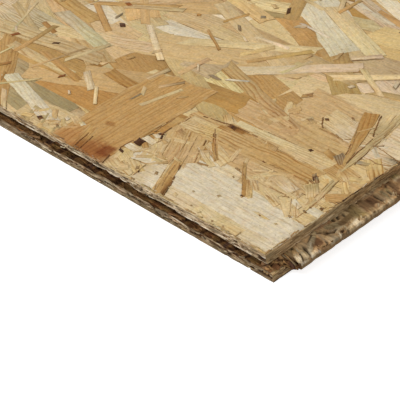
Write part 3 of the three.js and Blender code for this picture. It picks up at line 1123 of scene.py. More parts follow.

# Broken dark lines along the borders of strands: the points of the line, its width and tone. They are partly
# the dark gaps between strands and partly painted shadow beside raised strands.
cornerLines = [
    ([(83.4, 23.4), (79.6, 17), (75.1, 9.9), (71, 1)], 0.55, "edgeDark"),
    ([(89, 22.8), (86, 15.4), (80.6, 5.6), (77.6, 1)], 0.35, "edgeBrown"),
    ([(85.6, 22), (81, 12), (76, 3)], 0.3, "edgeBrown"),
    ([(58.4, 41.8), (46.4, 29.6), (41.2, 24.4)], 0.38, "edgeBrown"),
    ([(46.4, 34), (40.4, 29.4), (36.8, 26.4)], 0.3, "honey"),
    ([(100, 44.4), (91.4, 30)], 0.3, "pinkTan"),
    ([(95.4, 45.2), (88.2, 33), (84, 25.4)], 0.3, "pinkTan"),
    ([(88, 44), (86, 40.4)], 0.55, "edgeDark"),
    ([(84.2, 36), (79.6, 28.8)], 0.4, "edgeBrown"),
    ([(103.6, 34.8), (97.1, 23)], 0.3, "tan"),
    ([(97, 22.4), (91.2, 21.6), (89, 23.4), (83.8, 24.2)], 0.4, "tan"),
    ([(87, 37.4), (80, 33.4), (73, 30.8)], 0.34, "tan"),
    ([(80.6, 40), (71, 34.6)], 0.32, "tan"),
    ([(91.6, 53.4), (82, 44.6), (72.8, 36.8)], 0.38, "edgeBrown"),
    ([(116.1, 50), (115.6, 43), (115.3, 31.4), (117.4, 25)], 0.45, "edgeBrown"),
    ([(117.4, 25), (118.5, 19.7), (118.6, 10), (116.8, 3.4), (115.6, 0)], 0.55, "edgeDark"),
    ([(111, 40.4), (110.7, 36)], 0.7, "edgeDark"),
    ([(110, 53), (109.8, 46.6)], 0.35, "edgeBrown"),
    ([(142.8, 16.6), (140.6, 8), (138.8, 0.6)], 0.45, "edgeDark"),
    ([(137.4, 11), (135.6, 5), (134.4, 0.6)], 0.6, "edgeDark"),
    ([(109.4, 13), (106.6, 11.6), (97.4, 13.2)], 0.36, "tan"),
    ([(109, 17), (105.4, 19.8), (93, 21.2)], 0.3, "tan"),
    ([(96.8, 10.6), (95.6, 3.4)], 0.4, "tan"),
    ([(107.4, 25.2), (106.8, 29.6)], 0.4, "edgeBrown"),
    ([(104.6, 58.7), (94.6, 60), (87.6, 61.8), (70, 62.2)], 0.4, "edgeDark"),
    ([(72, 68.2), (58, 69.6)], 0.25, "sand"),
    ([(62, 49.2), (44, 50), (26, 51.6)], 0.4, "honey"),
    ([(96, 48.4), (64, 48.8)], 0.36, "honey"),
    ([(41, 105), (32.2, 90.8), (26.8, 83), (20.4, 72.2)], 0.45, "edgeBrown"),
    ([(33.6, 110.6), (27.6, 100.4), (23.6, 94.2), (22.2, 85.4), (20.6, 75)], 0.5, "edgeDark"),
    ([(23.4, 113), (21.2, 100.8), (20.8, 93), (19.2, 89)], 0.4, "edgeBrown"),
    ([(19.2, 89), (18, 85.4), (17.2, 80), (16.2, 73.8)], 0.55, "edgeDark"),
    ([(29, 85), (24.4, 76.6)], 0.35, "edgeDark"),
    ([(56.8, 94.2), (53, 89.8), (48.6, 86)], 0.55, "edgeDark"),
    ([(48.6, 86), (41, 86.4), (35, 85.8), (32.2, 88.4)], 0.5, "edgeBrown"),
    ([(12.4, 58.4), (10.1, 46.7), (8.7, 38), (8.4, 33.6)], 0.34, "edgeBrown"),
    ([(15.6, 57.4), (14, 48.8), (12.6, 42.6)], 0.3, "edgeBrown"),
    ([(4.2, 39.8), (2.2, 41.8), (0, 44.2)], 0.55, "edgeDark"),
    ([(9.4, 46.8), (2.4, 46.8), (0, 48.6)], 0.35, "edgeBrown"),
    ([(64, 38.6), (53, 36.4), (45, 33)], 0.3, "edgeBrown"),
    ([(35, 36.8), (27, 37.2), (19.4, 36.4)], 0.3, "tan"),
    ([(20, 36), (12, 27)], 0.26, "tan"),
    ([(16.6, 36), (9.6, 28.6)], 0.26, "tan"),
    ([(30, 45.4), (19, 40.4)], 0.26, "tan"),
    ([(54, 49.8), (52, 49.4)], 0.6, "edgeDark"),
    ([(8.4, 31.8), (8.2, 26.6), (0, 26)], 0.3, "edgeBrown"),
    ([(21, 7), (20.4, 1)], 0.3, "smudge"),
    ([(19, 91.2), (13, 90.8), (1, 88.4)], 0.4, "edgeBrown"),
    ([(17, 82), (8.6, 81), (3, 83)], 0.35, "edgeBrown"),
]


def drawnSpot(random, x, y, depths):
    # a random shape, and a place just under the upper face
    return anyShape(random), (x, y, topZ - random.uniform(*depths) * mm)


def strewLine(batch, random, points, width, tone):
    # small slivers in a row, with gaps, along a border line
    for first, last in zip(points[:-1], points[1:]):
        stretch = math.dist(first, last)
        for _ in range(max(1, round(stretch / 2.6))):
            if random.uniform(0, 1) < 0.12:
                continue
            share = random.uniform(0, 1)
            back, inward = (first[i] + (last[i] - first[i]) * share + random.normal(0, 0.10) for i in (0, 1))
            x, y = fromCorner(back, inward)
            angle = math.atan2(last[1] - first[1], first[0] - last[0]) + random.normal(0, 0.06)
            tint = varied(random, tone, 0.12)
            pick, at = drawnSpot(random, x, y, (0.02, 0.07))
            length = min(random.uniform(2.4, 5.5), stretch) * mm
            across = width * random.uniform(0.6, 1.4) * mm
            addStrand(batch, "sliver", pick, at, flatAxes(angle), length, across, tint)


def cornerFines(batch, random):
    # small broken strands between the large ones, close in tone to the ground; each patch gives its
    # middle, reach, count, lengths, widths and tones
    patches = [
        ((106, 12), (11, 12), 16, (4, 9), (2, 4), ["straw", "sand", "yellow", "straw"]),
        ((168, 7), (16, 7), 34, (3, 9), (1.2, 3.6), ["straw", "sand", "yellow", "tan", "oliveGrey"]),
        ((10, 50), (12, 14), 12, (5, 10), (2, 4), ["straw", "tan", "yellow", "sand", "straw"]),
        ((26, 39), (20, 7), 14, (5, 12), (1.6, 3.6), ["sand", "sand", "straw", "pinkCream"]),
        ((12, 63), (13, 7), 12, (5, 10), (2, 4), ["straw", "yellow", "tan"]),
        ((8, 100), (12, 14), 10, (8, 16), (1.6, 3.4), ["cream", "paleSand", "pinkCream"]),
        ((78, 35), (9, 5), 6, (5, 10), (1.4, 3), ["straw", "sand", "pinkTan"]),
        ((50, 44), (26, 4), 10, (7, 14), (1.6, 3), ["pinkTan", "sand", "pinkTan"]),
        ((75, 82), (14, 9), 12, (6, 14), (2, 4.5), ["pinkTan", "straw", "sand", "tan"]),
        ((104, 33), (7, 8), 6, (5, 10), (1.6, 3), ["sand", "tan", "straw"]),
    ]
    for centre, reach, count, lengths, widths, palette in patches:
        for index in range(count):
            back = centre[0] + random.uniform(-1, 1) * reach[0]
            inward = centre[1] + random.uniform(-1, 1) * reach[1]
            x, y = fromCorner(back, inward)
            tone = random.choice(palette)
            kind = "plate" if index % 3 else "sliver"
            pick, at = drawnSpot(random, x, y, (0.20, 0.33))
            axes = flatAxes(random.uniform(-1.3, 1.3))
            length, width = random.uniform(*lengths) * mm, random.uniform(*widths) * mm
            tint = varied(random, tone, 0.04)
            rings = (random.uniform(0, 0.8), random.uniform(1.0, 2.0))
            addStrand(batch, kind, pick, at, axes, length, width, tint, rings, varied(random, tone, 0.06))


# Strands laid over the fines and the border lines, given like cornerStrands.
lateStrands = [
    ("strip", ((92, 61.9), (24, 63.3)), 3.2, "tan", (0.4, 1.6), 0.285, 1, "sand"),
    ("plate", ((39, 44.6), (24, 41.4)), 6.4, "sand", (0.35, 2), 0.19, 2, "pinkCream"),
    ("strip", ((40, 38.8), (19, 38.2)), 2.6, "sand", (0.3, 1.6), 0.2, 0, "straw"),
]

# Crushed bits along the sawn borders of the face. Each set has its own turn, spread and sizes.
crushedBits = {
    "groove": {
        "depth": (0.03, 0.12), "turn": 0, "spread": 0.14, "length": (1.6, 6), "width": (0.4, 1.0),
        "tones": ["tan", "oliveGrey", "paleSand", "smudge", "cream", "oliveGrey"], "oneTone": False,
    },
    "tongue": {
        "depth": (0.03, 0.12), "turn": 90, "spread": 0.12, "length": (1.4, 5), "width": (0.3, 0.8),
        "tones": ["tan", "smudge", "edgeBrown", "paleSand", "cream"], "oneTone": False,
    },
    "bruise": {
        "depth": (0.03, 0.10), "turn": 90, "spread": 0.08, "length": (2.4, 6), "width": (0.4, 0.8),
        "tones": ["edgeDark", "brownDark", "darkBrown", "edgeBrown"], "oneTone": True,
    },
}


def addCrushed(batch, random, back, inward, bits):
    x, y = fromCorner(back, inward)
    tone = random.choice(bits["tones"])
    single = varied(random, tone, 0.06) if bits["oneTone"] else None
    pick, at = drawnSpot(random, x, y, bits["depth"])
    axes = flatAxes(math.radians(bits["turn"]) + random.normal(0, bits["spread"]))
    length, width = random.uniform(*bits["length"]) * mm, random.uniform(*bits["width"]) * mm
    if bits["oneTone"]:
        addStrand(batch, "sliver", pick, at, axes, length, width, single)
        return
    tint, far = varied(random, tone, 0.06), varied(random, tone, 0.08)
    addStrand(batch, "sliver", pick, at, axes, length, width, tint, (0.3, 1.0), far)


def crushGrooveSide(batch, random):
    # denser towards the near corner
    for _ in range(int(longRun / (6.0 * mm))):
        back = longRun / mm * random.uniform(0.001, 1) ** 1.8
        inward = random.uniform(0.1, 1.5) * random.uniform(0.3, 1)
        addCrushed(batch, random, back, inward, crushedBits["groove"])


def crushTongueSide(batch, random):
    for _ in range(70):
        inward = 2 + 130 * random.uniform(0, 1) ** 1.3
        addCrushed(batch, random, random.uniform(0.1, 0.9), inward, crushedBits["tongue"])


def bruiseTongueSide(batch, random):
    for _ in range(30):
        back = random.uniform(0.05, 0.4)
        addCrushed(batch, random, back, random.uniform(50, 92), crushedBits["bruise"])


# The upper strands are kept in two pieces, parted at this x.
partX = 0.1


def buildFaces():
    random = np.random.default_rng(41)
    upper = newBatch()
    strewFace(upper, random, 1, faceEast, faceNorth, faceLayers, True)
    for row in cornerStrands:
        placeInCorner(upper, random, *row)
    cornerFines(upper, random)
    for line in cornerLines:
        strewLine(upper, random, *line)
    crushGrooveSide(upper, random)
    for row in lateStrands:
        placeInCorner(upper, random, *row)
    crushTongueSide(upper, random)
    bruiseTongueSide(upper, np.random.default_rng(43))
    made = []
    isEast = [origin[0] > partX for origin in upper["origin"]]
    bounds = (low.x, low.y, topZ - 2 * mm), (faceEast, faceNorth, topZ)
    for name, east in (("upper_strands_east", True), ("upper_strands_west", False)):
        part = {key: [v for v, here in zip(value, isEast) if here == east] for key, value in upper.items()}
        made.append(joinBatch(name, part, faceWood, *bounds, 5, 0.8 * mm))
    under = newBatch()
    strewFace(under, random, -1, cheekEast, cheekNorth, faceLayers[:3], False)
    edge = 0.3 * mm
    bounds = (low.x + edge, low.y + edge, 0), (cheekEast - edge, cheekNorth - edge, 2 * mm)
    made.append(joinBatch("under_strands", under, faceWood, *bounds, 6))
    return made


pieces = buildFaces()

# The four sides. Each has its start, the way it runs and the way it faces.
sides = {
    "south": {"base": (low.x, low.y), "along": (1, 0), "out": (0, -1), "turn": 0},
    "east": {"base": (faceEast, low.y), "along": (0, 1), "out": (1, 0), "turn": 90},
    "north": {"base": (faceEast, faceNorth), "along": (-1, 0), "out": (0, 1), "turn": 180},
    "west": {"base": (low.x, faceNorth), "along": (0, -1), "out": (-1, 0), "turn": 270},
    # the cut ends of the tongues
    "eastEnd": {"base": (faceEast, low.y + grooveDepth), "along": (1, 0), "out": (0, -1), "turn": 0},
    "northEnd": {"base": (low.x + grooveDepth, high.y), "along": (0, -1), "out": (-1, 0), "turn": 270},
}
slope = math.atan((tongueRoot - tongueNose) / 2 / (tongueReach - noseRadius))
gap, floorZ, roofZ, midZ = (value / mm for value in (expansionGap, grooveFloor, grooveRoof, tongueMiddle))
rootHalf, noseHalf, reach = tongueRoot / 2 / mm, tongueNose / 2 / mm, tongueReach / mm

# Sheets of the sides: points of the profile (outward, height) in millimetres, each with the size of
# the cells that lead to it.
sheetTop = 14.1
noseTop, noseLow = midZ + noseHalf, midZ - noseHalf
profiles = {
    "upperLip": [
        ((-1.6, sheetTop), 0),
        ((-0.05, sheetTop), 1.0),
        ((0, roofZ + 0.4), 0.36),
        ((-0.35, roofZ + 0.02), 0.3),
        ((-0.8, roofZ), 0.4),
        ((-2.2, roofZ + 0.15), 0.8),
    ],
    "lowerLip": [
        ((-9.5, floorZ), 0),
        ((-6, floorZ), 1.2),
        ((-0.3, floorZ), 0.5),
        ((0, floorZ - 0.3), 0.4),
        ((0, 0.1), 0.38),
        ((-1.4, 0.7), 1.0),
    ],
    "upperCheek": [
        ((-1.6, sheetTop), 0),
        ((-0.05, sheetTop), 1.0),
        ((0, midZ + rootHalf + 0.1), 0.36),
        ((0.8, midZ + rootHalf - 0.1), 0.5),
    ],
    "tongue": [
        ((-0.6, midZ + rootHalf), 0),
        ((reach - 0.9, noseTop + 0.05), 0.45),
        ((reach - 0.3, noseTop - 0.25), 0.4),
        ((reach, noseTop - 0.9), 0.4),
        ((reach, noseLow + 0.9), 0.36),
        ((reach - 0.3, noseLow + 0.25), 0.4),
        ((reach - 0.9, noseLow - 0.05), 0.4),
        ((gap - 0.6, midZ - rootHalf + 0.2), 1.8),
    ],
    "lowerCheek": [
        ((gap - 1.4, midZ - rootHalf + 0.2), 0),
        ((gap - 0.1, midZ - rootHalf - 0.1), 0.6),
        ((gap, 0.1), 0.45),
        ((gap - 1.4, 0.7), 1.0),
    ],
    "tongueEnd": [
        ((0, midZ + rootHalf), 0),
        ((0, midZ - rootHalf), 0.4),
    ],
    "mound": [
        ((-0.7, floorZ - 0.2), 0),
        ((-2.6, floorZ + 0.6), 0.4),
        ((-4.8, floorZ + 2.6), 0.4),
        ((-7.4, floorZ + 5.3), 0.4),
        ((-10.3, floorZ + 5.6), 0.6),
    ],
}


def columnPlaces(start, end, near, fine, coarse, reachTo):
    # fine columns by the near corner, wider ones away from it
    places = [start]
    while places[-1] < end:
        distance = abs(places[-1] - near) if near is not None else 9.0
        share = min(max((distance - reachTo * mm) / 0.06, 0), 1)
        places.append(places[-1] + (fine + (coarse - fine) * share) * mm)
    places[-1] = end
    return places


def drawProfile(profile):
    # draws the selected line out along the profile; returns (outward, height, way along it) of each row
    levels = [(*profile[0][0], 0.0)]
    for (here, _), (there, step) in zip(profile[:-1], profile[1:]):
        stretch = math.dist(here, there)
        count = max(1, round(stretch / step))
        move = ((there[0] - here[0]) / count, (there[1] - here[1]) / count)
        for _ in range(count):
            shift = (0, -move[0] * mm, move[1] * mm)
            bpy.ops.mesh.extrude_region_move(TRANSFORM_OT_translate={"value": shift})
            out, z, way = levels[-1]
            levels.append((out + move[0], z + move[1], way + stretch / count))
    return np.array(levels)


def modelSheet(side, places, profile, paint, surface, adjust=None):
    # a line of points along the side, drawn out along the profile, then roughened
    deselectAll()
    bpy.ops.mesh.primitive_grid_add(x_subdivisions=len(places) - 1, y_subdivisions=1, size=1)
    sheet = bpy.context.object
    mesh = sheet.data
    setMode("EDIT")
    selectVerts(mesh, lambda co: co.y > 0)
    bpy.ops.mesh.delete(type="VERT")
    setMode("OBJECT")
    first = profile[0][0]
    for vert, place in zip(sorted(mesh.vertices, key=lambda v: v.co.x), places):
        vert.co = (place, -first[0] * mm, first[1] * mm)
    setMode("EDIT")
    selectMesh()
    spots = drawProfile(profile)
    setMode("OBJECT")
    co = np.array([v.co for v in mesh.vertices])
    run, out, z = co[:, 0] / mm, -co[:, 1] / mm, co[:, 2] / mm
    offsets = (out[:, None] - spots[:, 0]) ** 2 + (z[:, None] - spots[:, 1]) ** 2
    way = spots[np.argmin(offsets, axis=1), 2] * mm
    corners = valuesOf(mesh.loops, "vertex_index", kind=int)
    layer = mesh.uv_layers[0] if mesh.uv_layers else mesh.uv_layers.new(name="grain")
    layer.name = "grain"
    layer.data.foreach_set("uv", np.column_stack([co[:, 0], way])[corners].ravel())
    look = paint(run, out, z)
    colors = np.column_stack([np.clip(look["tint"], 0.002, 0.95), np.ones(len(co))]).ravel()
    addValues(mesh, "tint", "FLOAT_COLOR", "POINT", "color", colors)
    for label in ("fringe", "rough"):
        values = np.broadcast_to(look[label], len(co)).astype(float)
        addValues(mesh, label, "FLOAT", "POINT", "value", values)
    mesh.update()
    front = max(mesh.polygons, key=lambda p: abs(p.normal.y) * p.area)
    if front.normal.y > 0:
        mesh.flip_normals()
    if adjust:
        run, out, z = adjust(run, out, z)
        mesh.vertices.foreach_set("co", (np.column_stack([run, -out, z]) * mm).ravel())
    mesh.update()
    turn = Matrix.Rotation(math.radians(side["turn"]), 4, "Z")
    sheet.matrix_world = Matrix.Translation((*side["base"], 0)) @ turn
    bpy.ops.object.transform_apply(location=True, rotation=True, scale=True)
    modifier = sheet.modifiers.new("relief", "NODES")
    modifier.node_group = reliefs[surface]
    bpy.ops.object.modifier_apply(modifier=modifier.name)
    mesh.materials.append(sheetWoods[surface])
    return sheet


def joinSheets(name, sheets):
    selectOnly(*sheets)
    bpy.ops.object.join()
    sheets[0].name = name
    print(name, "triangles", triangleCount(sheets[0].data))
    return sheets[0]


# Marks by the near corner, in millimetres. Torn strands on the tongue: run and outward of both ends,
# half width, tones at both ends, lift.
flankStrokes = [
    (7.6, 12, 8.4, 1, 0.8, "brownDark", "redDark", -0.2),
    (39, 0.4, 22, 0.8, 1.2, "pinkBrownDull", "flank", 0),
    (12.4, 7.6, 14.4, 0.6, 1.7, "oliveBrown", "oliveDark", 0),
    (9.2, 7, 10.6, 1.4, 0.7, "oliveDark", "oliveBrown", -0.2),
    (8.9, 12.6, 13, 6.8, 1.6, "petalPale", "flankPale", 0.35),
    (13.4, 13, 18, 2, 2, "flankPale", "flank", 0.3),
    (15.7, 12.4, 16.2, 9.4, 1, "orangeBrown", "orangeBrown", -0.1),
    (20.4, 6.2, 19.6, 1.4, 2.2, "flankPink", "flank", 0),
    (25.2, 12.6, 25.4, 8.8, 2.8, "flankOrange", "orangeBrown", 0),
    (25.4, 7.6, 25.8, 5.2, 2.7, "redDark", "redDark", -0.35),
    (18, 8.6, 28.6, 1.4, 1.8, "greyPale", "oliveGreyDark", 0.35),
    (17.3, 11.8, 18.2, 9.8, 0.6, "petalPale", "greyPale", 0.3),
    (18.9, 11.3, 22, 10.6, 1.3, "flankPale", "flankOrange", 0.2),
    (28.1, 10.2, 29.4, 2.8, 0.9, "flankPink", "flankPink", 0.35),
    (31.8, 12.8, 31.6, 7.4, 3.3, "greyPale", "flank", 0.1),
    (32.2, 5.4, 32.2, 3, 1.9, "brownDark", "flank", -0.1),
    (35.6, 12.6, 36.2, 8.6, 0.8, "petalPale", "flankPale", 0.25),
    (35.6, 8.4, 38.4, 8.2, 0.6, "yellowPale", "flankPale", 0.3),
    (38, 10.6, 38.6, 10, 1.3, "orangeBrown", "redDark", -0.3),
    (40.2, 12, 41.4, 8.4, 0.7, "flankPale", "flankPale", 0.2),
    (36, 3, 42, 6, 2.3, "oliveGreyDark", "oliveGreyDark", 0),
    (42, 5.8, 50, 5, 2, "brownDark", "oliveDark", -0.1),
    (34.6, 5.8, 41, 8, 0.8, "flankPink", "flankPale", 0.2),
    (42.6, 12, 49.4, 10.4, 2.5, "flankPale", "lip", 0.15),
    (41.4, 12.2, 44.4, 11.6, 0.8, "flankPale", "yellowPale", 0.1),
    (50.4, 12.4, 50.6, 9, 1.8, "flankPale", "flank", 0.1),
    (53.8, 12.4, 53.6, 9, 2, "flankPale", "oliveBrown", 0.1),
    (52, 8, 53, 1.6, 3, "oliveBrown", "oliveDark", 0),
    (57.8, 8.4, 58.6, 1.6, 2.4, "flankRed", "brownDark", 0),
    (62.6, 8.6, 62.8, 3.6, 3.2, "redDark", "redDark", -0.25),
    (66, 5, 66.2, 1.4, 1.6, "flankRed", "flankRed", 0),
    (62.8, 12.2, 63, 9.6, 2.6, "flankPale", "flankOrange", 0),
    (58, 12.2, 58.6, 9.4, 2.2, "flankPale", "flank", 0),
    (69, 12.4, 69.2, 9.4, 2.2, "flankPale", "flank", 0.2),
    (67.6, 8.8, 68, 3, 1.3, "flankPink", "flank", 0.1),
    (70.4, 9, 70.8, 3.6, 1.4, "oliveGreyDark", "oliveGreyDark", 0.05),
    (72.6, 9.6, 73.6, 3.8, 1.2, "flankPink", "oliveBrown", 0.1),
    (75.4, 10.4, 75.6, 8.6, 2.2, "redDark", "flankRed", -0.3),
    (77.6, 7, 78, 2, 2, "flankRed", "brownDark", 0),
    (73, 2.2, 76, 0.8, 2, "orangeBrown", "flankRed", 0),
    (62, 0.9, 68, 0.6, 1.3, "orangeBrown", "flankPink", 0),
    (83, 3, 83.4, 0.8, 2.6, "flankPale", "oliveBrown", 0.1),
    (82.6, 10, 83, 5, 2.8, "flank", "flankRed", 0),
    (88, 11.8, 88.4, 6, 2.6, "flankPale", "flankRed", 0.1),
]
# Cracks: run and outward of both ends, width, depth. They sink in, and their dark is painted shade in the
# gap.
flankCracks = [
    (12, 10.8, 14.2, 7, 0.8, 0.7), (16.8, 11, 17, 8.4, 0.8, 1), (17, 8.4, 18.6, 5.4, 1.1, 1.3),
    (12.6, 5, 14.6, 1.4, 0.8, 0.8), (9.6, 9, 9.9, 1, 0.7, 0.7), (22.3, 12, 22.6, 10.2, 0.8, 0.8),
    (27.9, 10.8, 28.3, 9.9, 1, 0.9), (29.6, 2.6, 30.9, 3, 0.9, 1), (33.1, 5.9, 35.4, 7.8, 0.8, 0.9),
    (36, 7.5, 37.2, 7.2, 0.7, 0.7), (37.2, 11.2, 38.4, 9.6, 0.8, 0.8), (38.4, 9.6, 39.8, 9.8, 0.7, 0.7),
    (40.3, 12.4, 40.8, 11.4, 0.7, 0.7), (41.2, 2, 41, -0.6, 0.9, 1), (43.4, 2.4, 44.4, -0.3, 0.9, 0.9),
    (46.8, 3.4, 47.4, 1.6, 0.8, 0.8), (66.5, 8.6, 66.6, 3.4, 0.8, 1), (72.6, 8.6, 73, 5.6, 0.7, 0.7),
    (19.6, 0.2, 21.4, -0.4, 0.8, 0.7), (57, 0.2, 57.8, -0.3, 0.8, 0.7), (74.9, 3, 75.6, 2, 0.7, 0.6),
    (22.6, 3.6, 26.6, 1.8, 0.6, 0.5), (68.6, -2, 71.4, -2.6, 0.7, 0.6),
]
# Strokes on the lips: back and height of both ends, half width, tone, lift. Voids sink in a little, and
# their dark tone is painted shade of the hole.
lipStrokes = [
    (-1.7, 1.6, 0.4, 2.6, 1, "void", -0.5),
    (0.4, 2.6, 2.8, 2.7, 1.75, "void", -0.5),
    (2.8, 2.7, 6, 2.3, 1, "void", -0.5),
    (9.6, 2.1, 10.8, 1.9, 0.8, "void", -0.5),
    (10.8, 1.9, 13.2, 0.4, 0.8, "void", -0.5),
    (11.8, 4.1, 14.2, 4.5, 0.65, "void", -0.5),
    (21.2, 3.9, 22.8, 3.6, 1.3, "void", -0.5),
    (22.8, 3.6, 26.4, 2, 0.85, "void", -0.5),
    (22.4, 2.4, 25, 2.1, 0.7, "oliveDark", -0.4),
    (26.8, 3.2, 29, 3.2, 0.85, "void", -0.5),
    (29, 3.2, 33, 3.1, 0.65, "void", -0.5),
    (33, 3.1, 39, 3.2, 1, "void", -0.5),
    (43.6, 3.2, 45.4, 3.4, 1.1, "void", -0.5),
    (45.4, 3.2, 49.6, 2.4, 1, "void", -0.5),
    (49.6, 2.4, 53.2, 2.2, 0.85, "void", -0.5),
    (12.6, 0.5, 20, 0.3, 0.6, "oliveGreyDark", -0.2),
    (26, 0.6, 28, 0.4, 0.6, "brownDark", -0.3),
    (6.6, 1.2, 8.4, 0.9, 0.5, "brownDark", -0.3),
    (14.6, 2.6, 18, 2.8, 0.7, "oliveBrown", -0.1),
    (39.8, 1.6, 43, 1.4, 0.6, "greyBrown", 0),
    (29, 1.2, 38, 1.4, 0.8, "greyBrown", 0.1),
    (-1, 3.9, 0.6, 3.7, 0.4, "moundPink", 0.1),
    (0.8, 3.8, 3.2, 4, 0.4, "lip", 0.15),
    (3.8, 4, 6.4, 3.6, 0.35, "lip", 0.15),
    (6.8, 3.4, 9, 3, 0.4, "greyPale", 0.1),
    (9.8, 3.1, 13.6, 3.3, 0.45, "greyPale", 0.1),
    (14, 3.8, 17, 3.6, 0.4, "greyPale", 0.1),
    (17.4, 3.6, 20.4, 4.3, 0.45, "pinkWood", 0.1),
    (21.4, 4.9, 26, 4.5, 0.4, "pinkWood", 0.15),
    (27, 4.2, 32, 4.2, 0.45, "pinkWood", 0.15),
    (32.6, 4.3, 38.4, 4.1, 0.45, "lip", 0.1),
    (43, 4.3, 46.2, 4.5, 0.5, "pinkWood", 0.15),
    (46.2, 4.5, 49, 3.4, 0.4, "lip", 0.15),
    (49, 3.5, 55, 3.4, 0.45, "pinkWood", 0.1),
    (0.6, 11.3, 3, 11.3, 0.7, "void", -0.5),
    (3, 11.5, 5, 11.6, 0.85, "void", -0.8),
    (0.4, 12.3, 2.8, 12.3, 0.5, "lipPale", 0.1),
    (6, 13.6, 10, 12.8, 0.6, "greyBrown", -0.2),
    (12, 12.2, 16, 11.6, 0.5, "brownDark", -0.3),
    (5.8, 10.8, 9, 10.8, 0.6, "greyPale", 0),
    (19, 12.4, 21.5, 12.3, 0.6, "void", -0.5),
    (23.8, 12.8, 28, 11.9, 0.5, "brownDark", -0.4),
    (30.5, 13.8, 32.6, 13.7, 0.6, "brownDark", -0.4),
    (34.8, 13.2, 37, 13, 0.6, "brownDark", -0.4),
    (40.4, 14.2, 44, 14, 0.5, "brownDark", -0.3),
    (24, 11, 26.6, 10.6, 0.5, "brownDark", -0.3),
    (17, 13.4, 19.6, 13, 0.4, "oliveBrown", -0.1),
    (8, 12, 11.6, 11.6, 0.5, "greyBrown", -0.1),
    (22, 11.2, 22.8, 10.8, 0.4, "brownDark", -0.2),
    (1, 9.9, 12, 9.8, 0.6, "lip", 0.1),
    (12, 9.8, 21, 9.9, 0.6, "lipPale", 0.1),
    (21, 9.5, 26.8, 9.3, 0.6, "lip", 0.1),
    (27.6, 10.6, 33, 10.4, 0.5, "greyPale", 0),
    (31, 12.6, 38, 11, 0.7, "greyPale", 0),
    (41, 10.6, 46.4, 10, 0.4, "lipPale", 0.1),
    (46.8, 11.8, 50, 11.2, 0.4, "brownDark", -0.3),
    (38, 12.6, 44, 12, 0.6, "greyPale", 0),
    (48, 13.2, 54, 12.8, 0.6, "lip", 0),
]
# Strokes on the lower cheek of the tongue side: run and height of both ends, half width, tone, lift.
cheekStrokes = [
    (-1, 0.2, 13, 0.3, 0.9, "brownDark", 0),
    (0.6, 1.8, 4.6, 1.7, 0.5, "pinkWood", 0),
    (5.2, 2.2, 10, 1.9, 0.6, "flankPink", 0),
    (0, 3.6, 1.6, 3.5, 0.5, "oliveBrown", 0),
    (2, 3.4, 5, 3.9, 0.6, "moundTan", 0),
    (4.6, 3.7, 10, 3.6, 0.5, "flankPink", 0),
    (3.6, 2.8, 4.6, 2.7, 0.4, "brownDark", 0),
    (7, 2.9, 8.4, 2.8, 0.35, "brownDark", 0),
]
# Strokes across the groove floor by the near corner: back and inward of both ends, half width, tone, lift.
floorStrokes = [
    (6, 0.4, 6.4, 6, 1.6, "floorOlive", 0),
    (11, 0.4, 11.4, 6, 2.6, "floorOlive", 0),
    (16.2, 0.6, 14.6, 6, 1.1, "floorDeep", -0.3),
    (17.4, 0.2, 16.6, 6, 0.55, "floorLight", 0.25),
    (19, 0.4, 19.6, 6, 1.3, "floorBrown", 0),
    (25.6, 0.6, 23.6, 6, 2.1, "floorDeep", -0.2),
    (29.6, 0.6, 30.2, 6, 1.4, "moundPurple", 0),
    (34.6, 0.6, 32.4, 6, 1.4, "floorDeep", -0.2),
    (36.6, 0.4, 36.8, 6, 1.5, "floorOlive", 0.1),
    (41, 0.4, 42, 6, 2, "floorRed", -0.2),
    (46.2, 0.4, 44, 6, 1.2, "floorDeep", -0.2),
    (50, 0.2, 47, 6, 1.1, "floorLight", 0.2),
    (54, 0.4, 53, 6, 2.2, "floorRed", -0.2),
    (60.4, 0.2, 58.4, 4.4, 1.7, "floorDeep", -0.3),
    (62, 2.4, 66, 3, 0.8, "floorLight", 0.2),
    (64.6, 0.4, 63.4, 6, 2, "floorBrown", 0.1),
    (69, 0.4, 68, 6, 1.6, "floorRed", 0),
    (73.4, 0.4, 72.6, 6, 2, "floorOlive", 0.1),
    (80.6, 0.4, 79, 6, 3, "floorRed", -0.3),
    (87, 0.4, 86.4, 6, 2.4, "floorOlive", -0.1),
    (93, 0.4, 92.4, 6, 2.2, "floorBrown", 0),
    (101, 0.4, 100, 6, 3.4, "floorOlive", -0.1),
    (110, 0.4, 109, 6, 2.6, "floorDeep", -0.3),
    (116.4, 0.4, 115.6, 6, 2.4, "floorRed", 0),
    (121.6, 0.4, 121, 6, 1.6, "floorBrown", 0.1),
    (126.4, 0.4, 125.4, 6, 2.4, "floorDeep", -0.4),
    (131, 0.4, 130.4, 6, 1.6, "moundPurple", 0),
    (134.8, 0.4, 133.6, 6, 1.6, "floorDeep", -0.3),
    (139, 0.4, 138.4, 6, 1.8, "floorBrown", 0.1),
    (145.6, 0.4, 143.6, 6, 2, "floorDeep", -0.4),
    (149.6, 0.4, 148.4, 6, 1.2, "floorOlive", 0.1),
    (155, 0.4, 153.4, 6, 2.4, "floorDeep", -0.5),
    (160, 0.4, 159, 6, 2, "floorOlive", 0.2),
    (166, 0.4, 165, 6, 2.4, "moundPurple", -0.1),
    (171, 0.4, 169.6, 6, 1.6, "floorBrown", 0.1),
    (176, 0.4, 174.6, 6, 2.4, "floorOlive", -0.2),
    (183, 0.4, 181.6, 6, 3, "floorBrown", 0.1),
    (189, 0.4, 188, 6, 2.2, "floorOlive", 0),
]
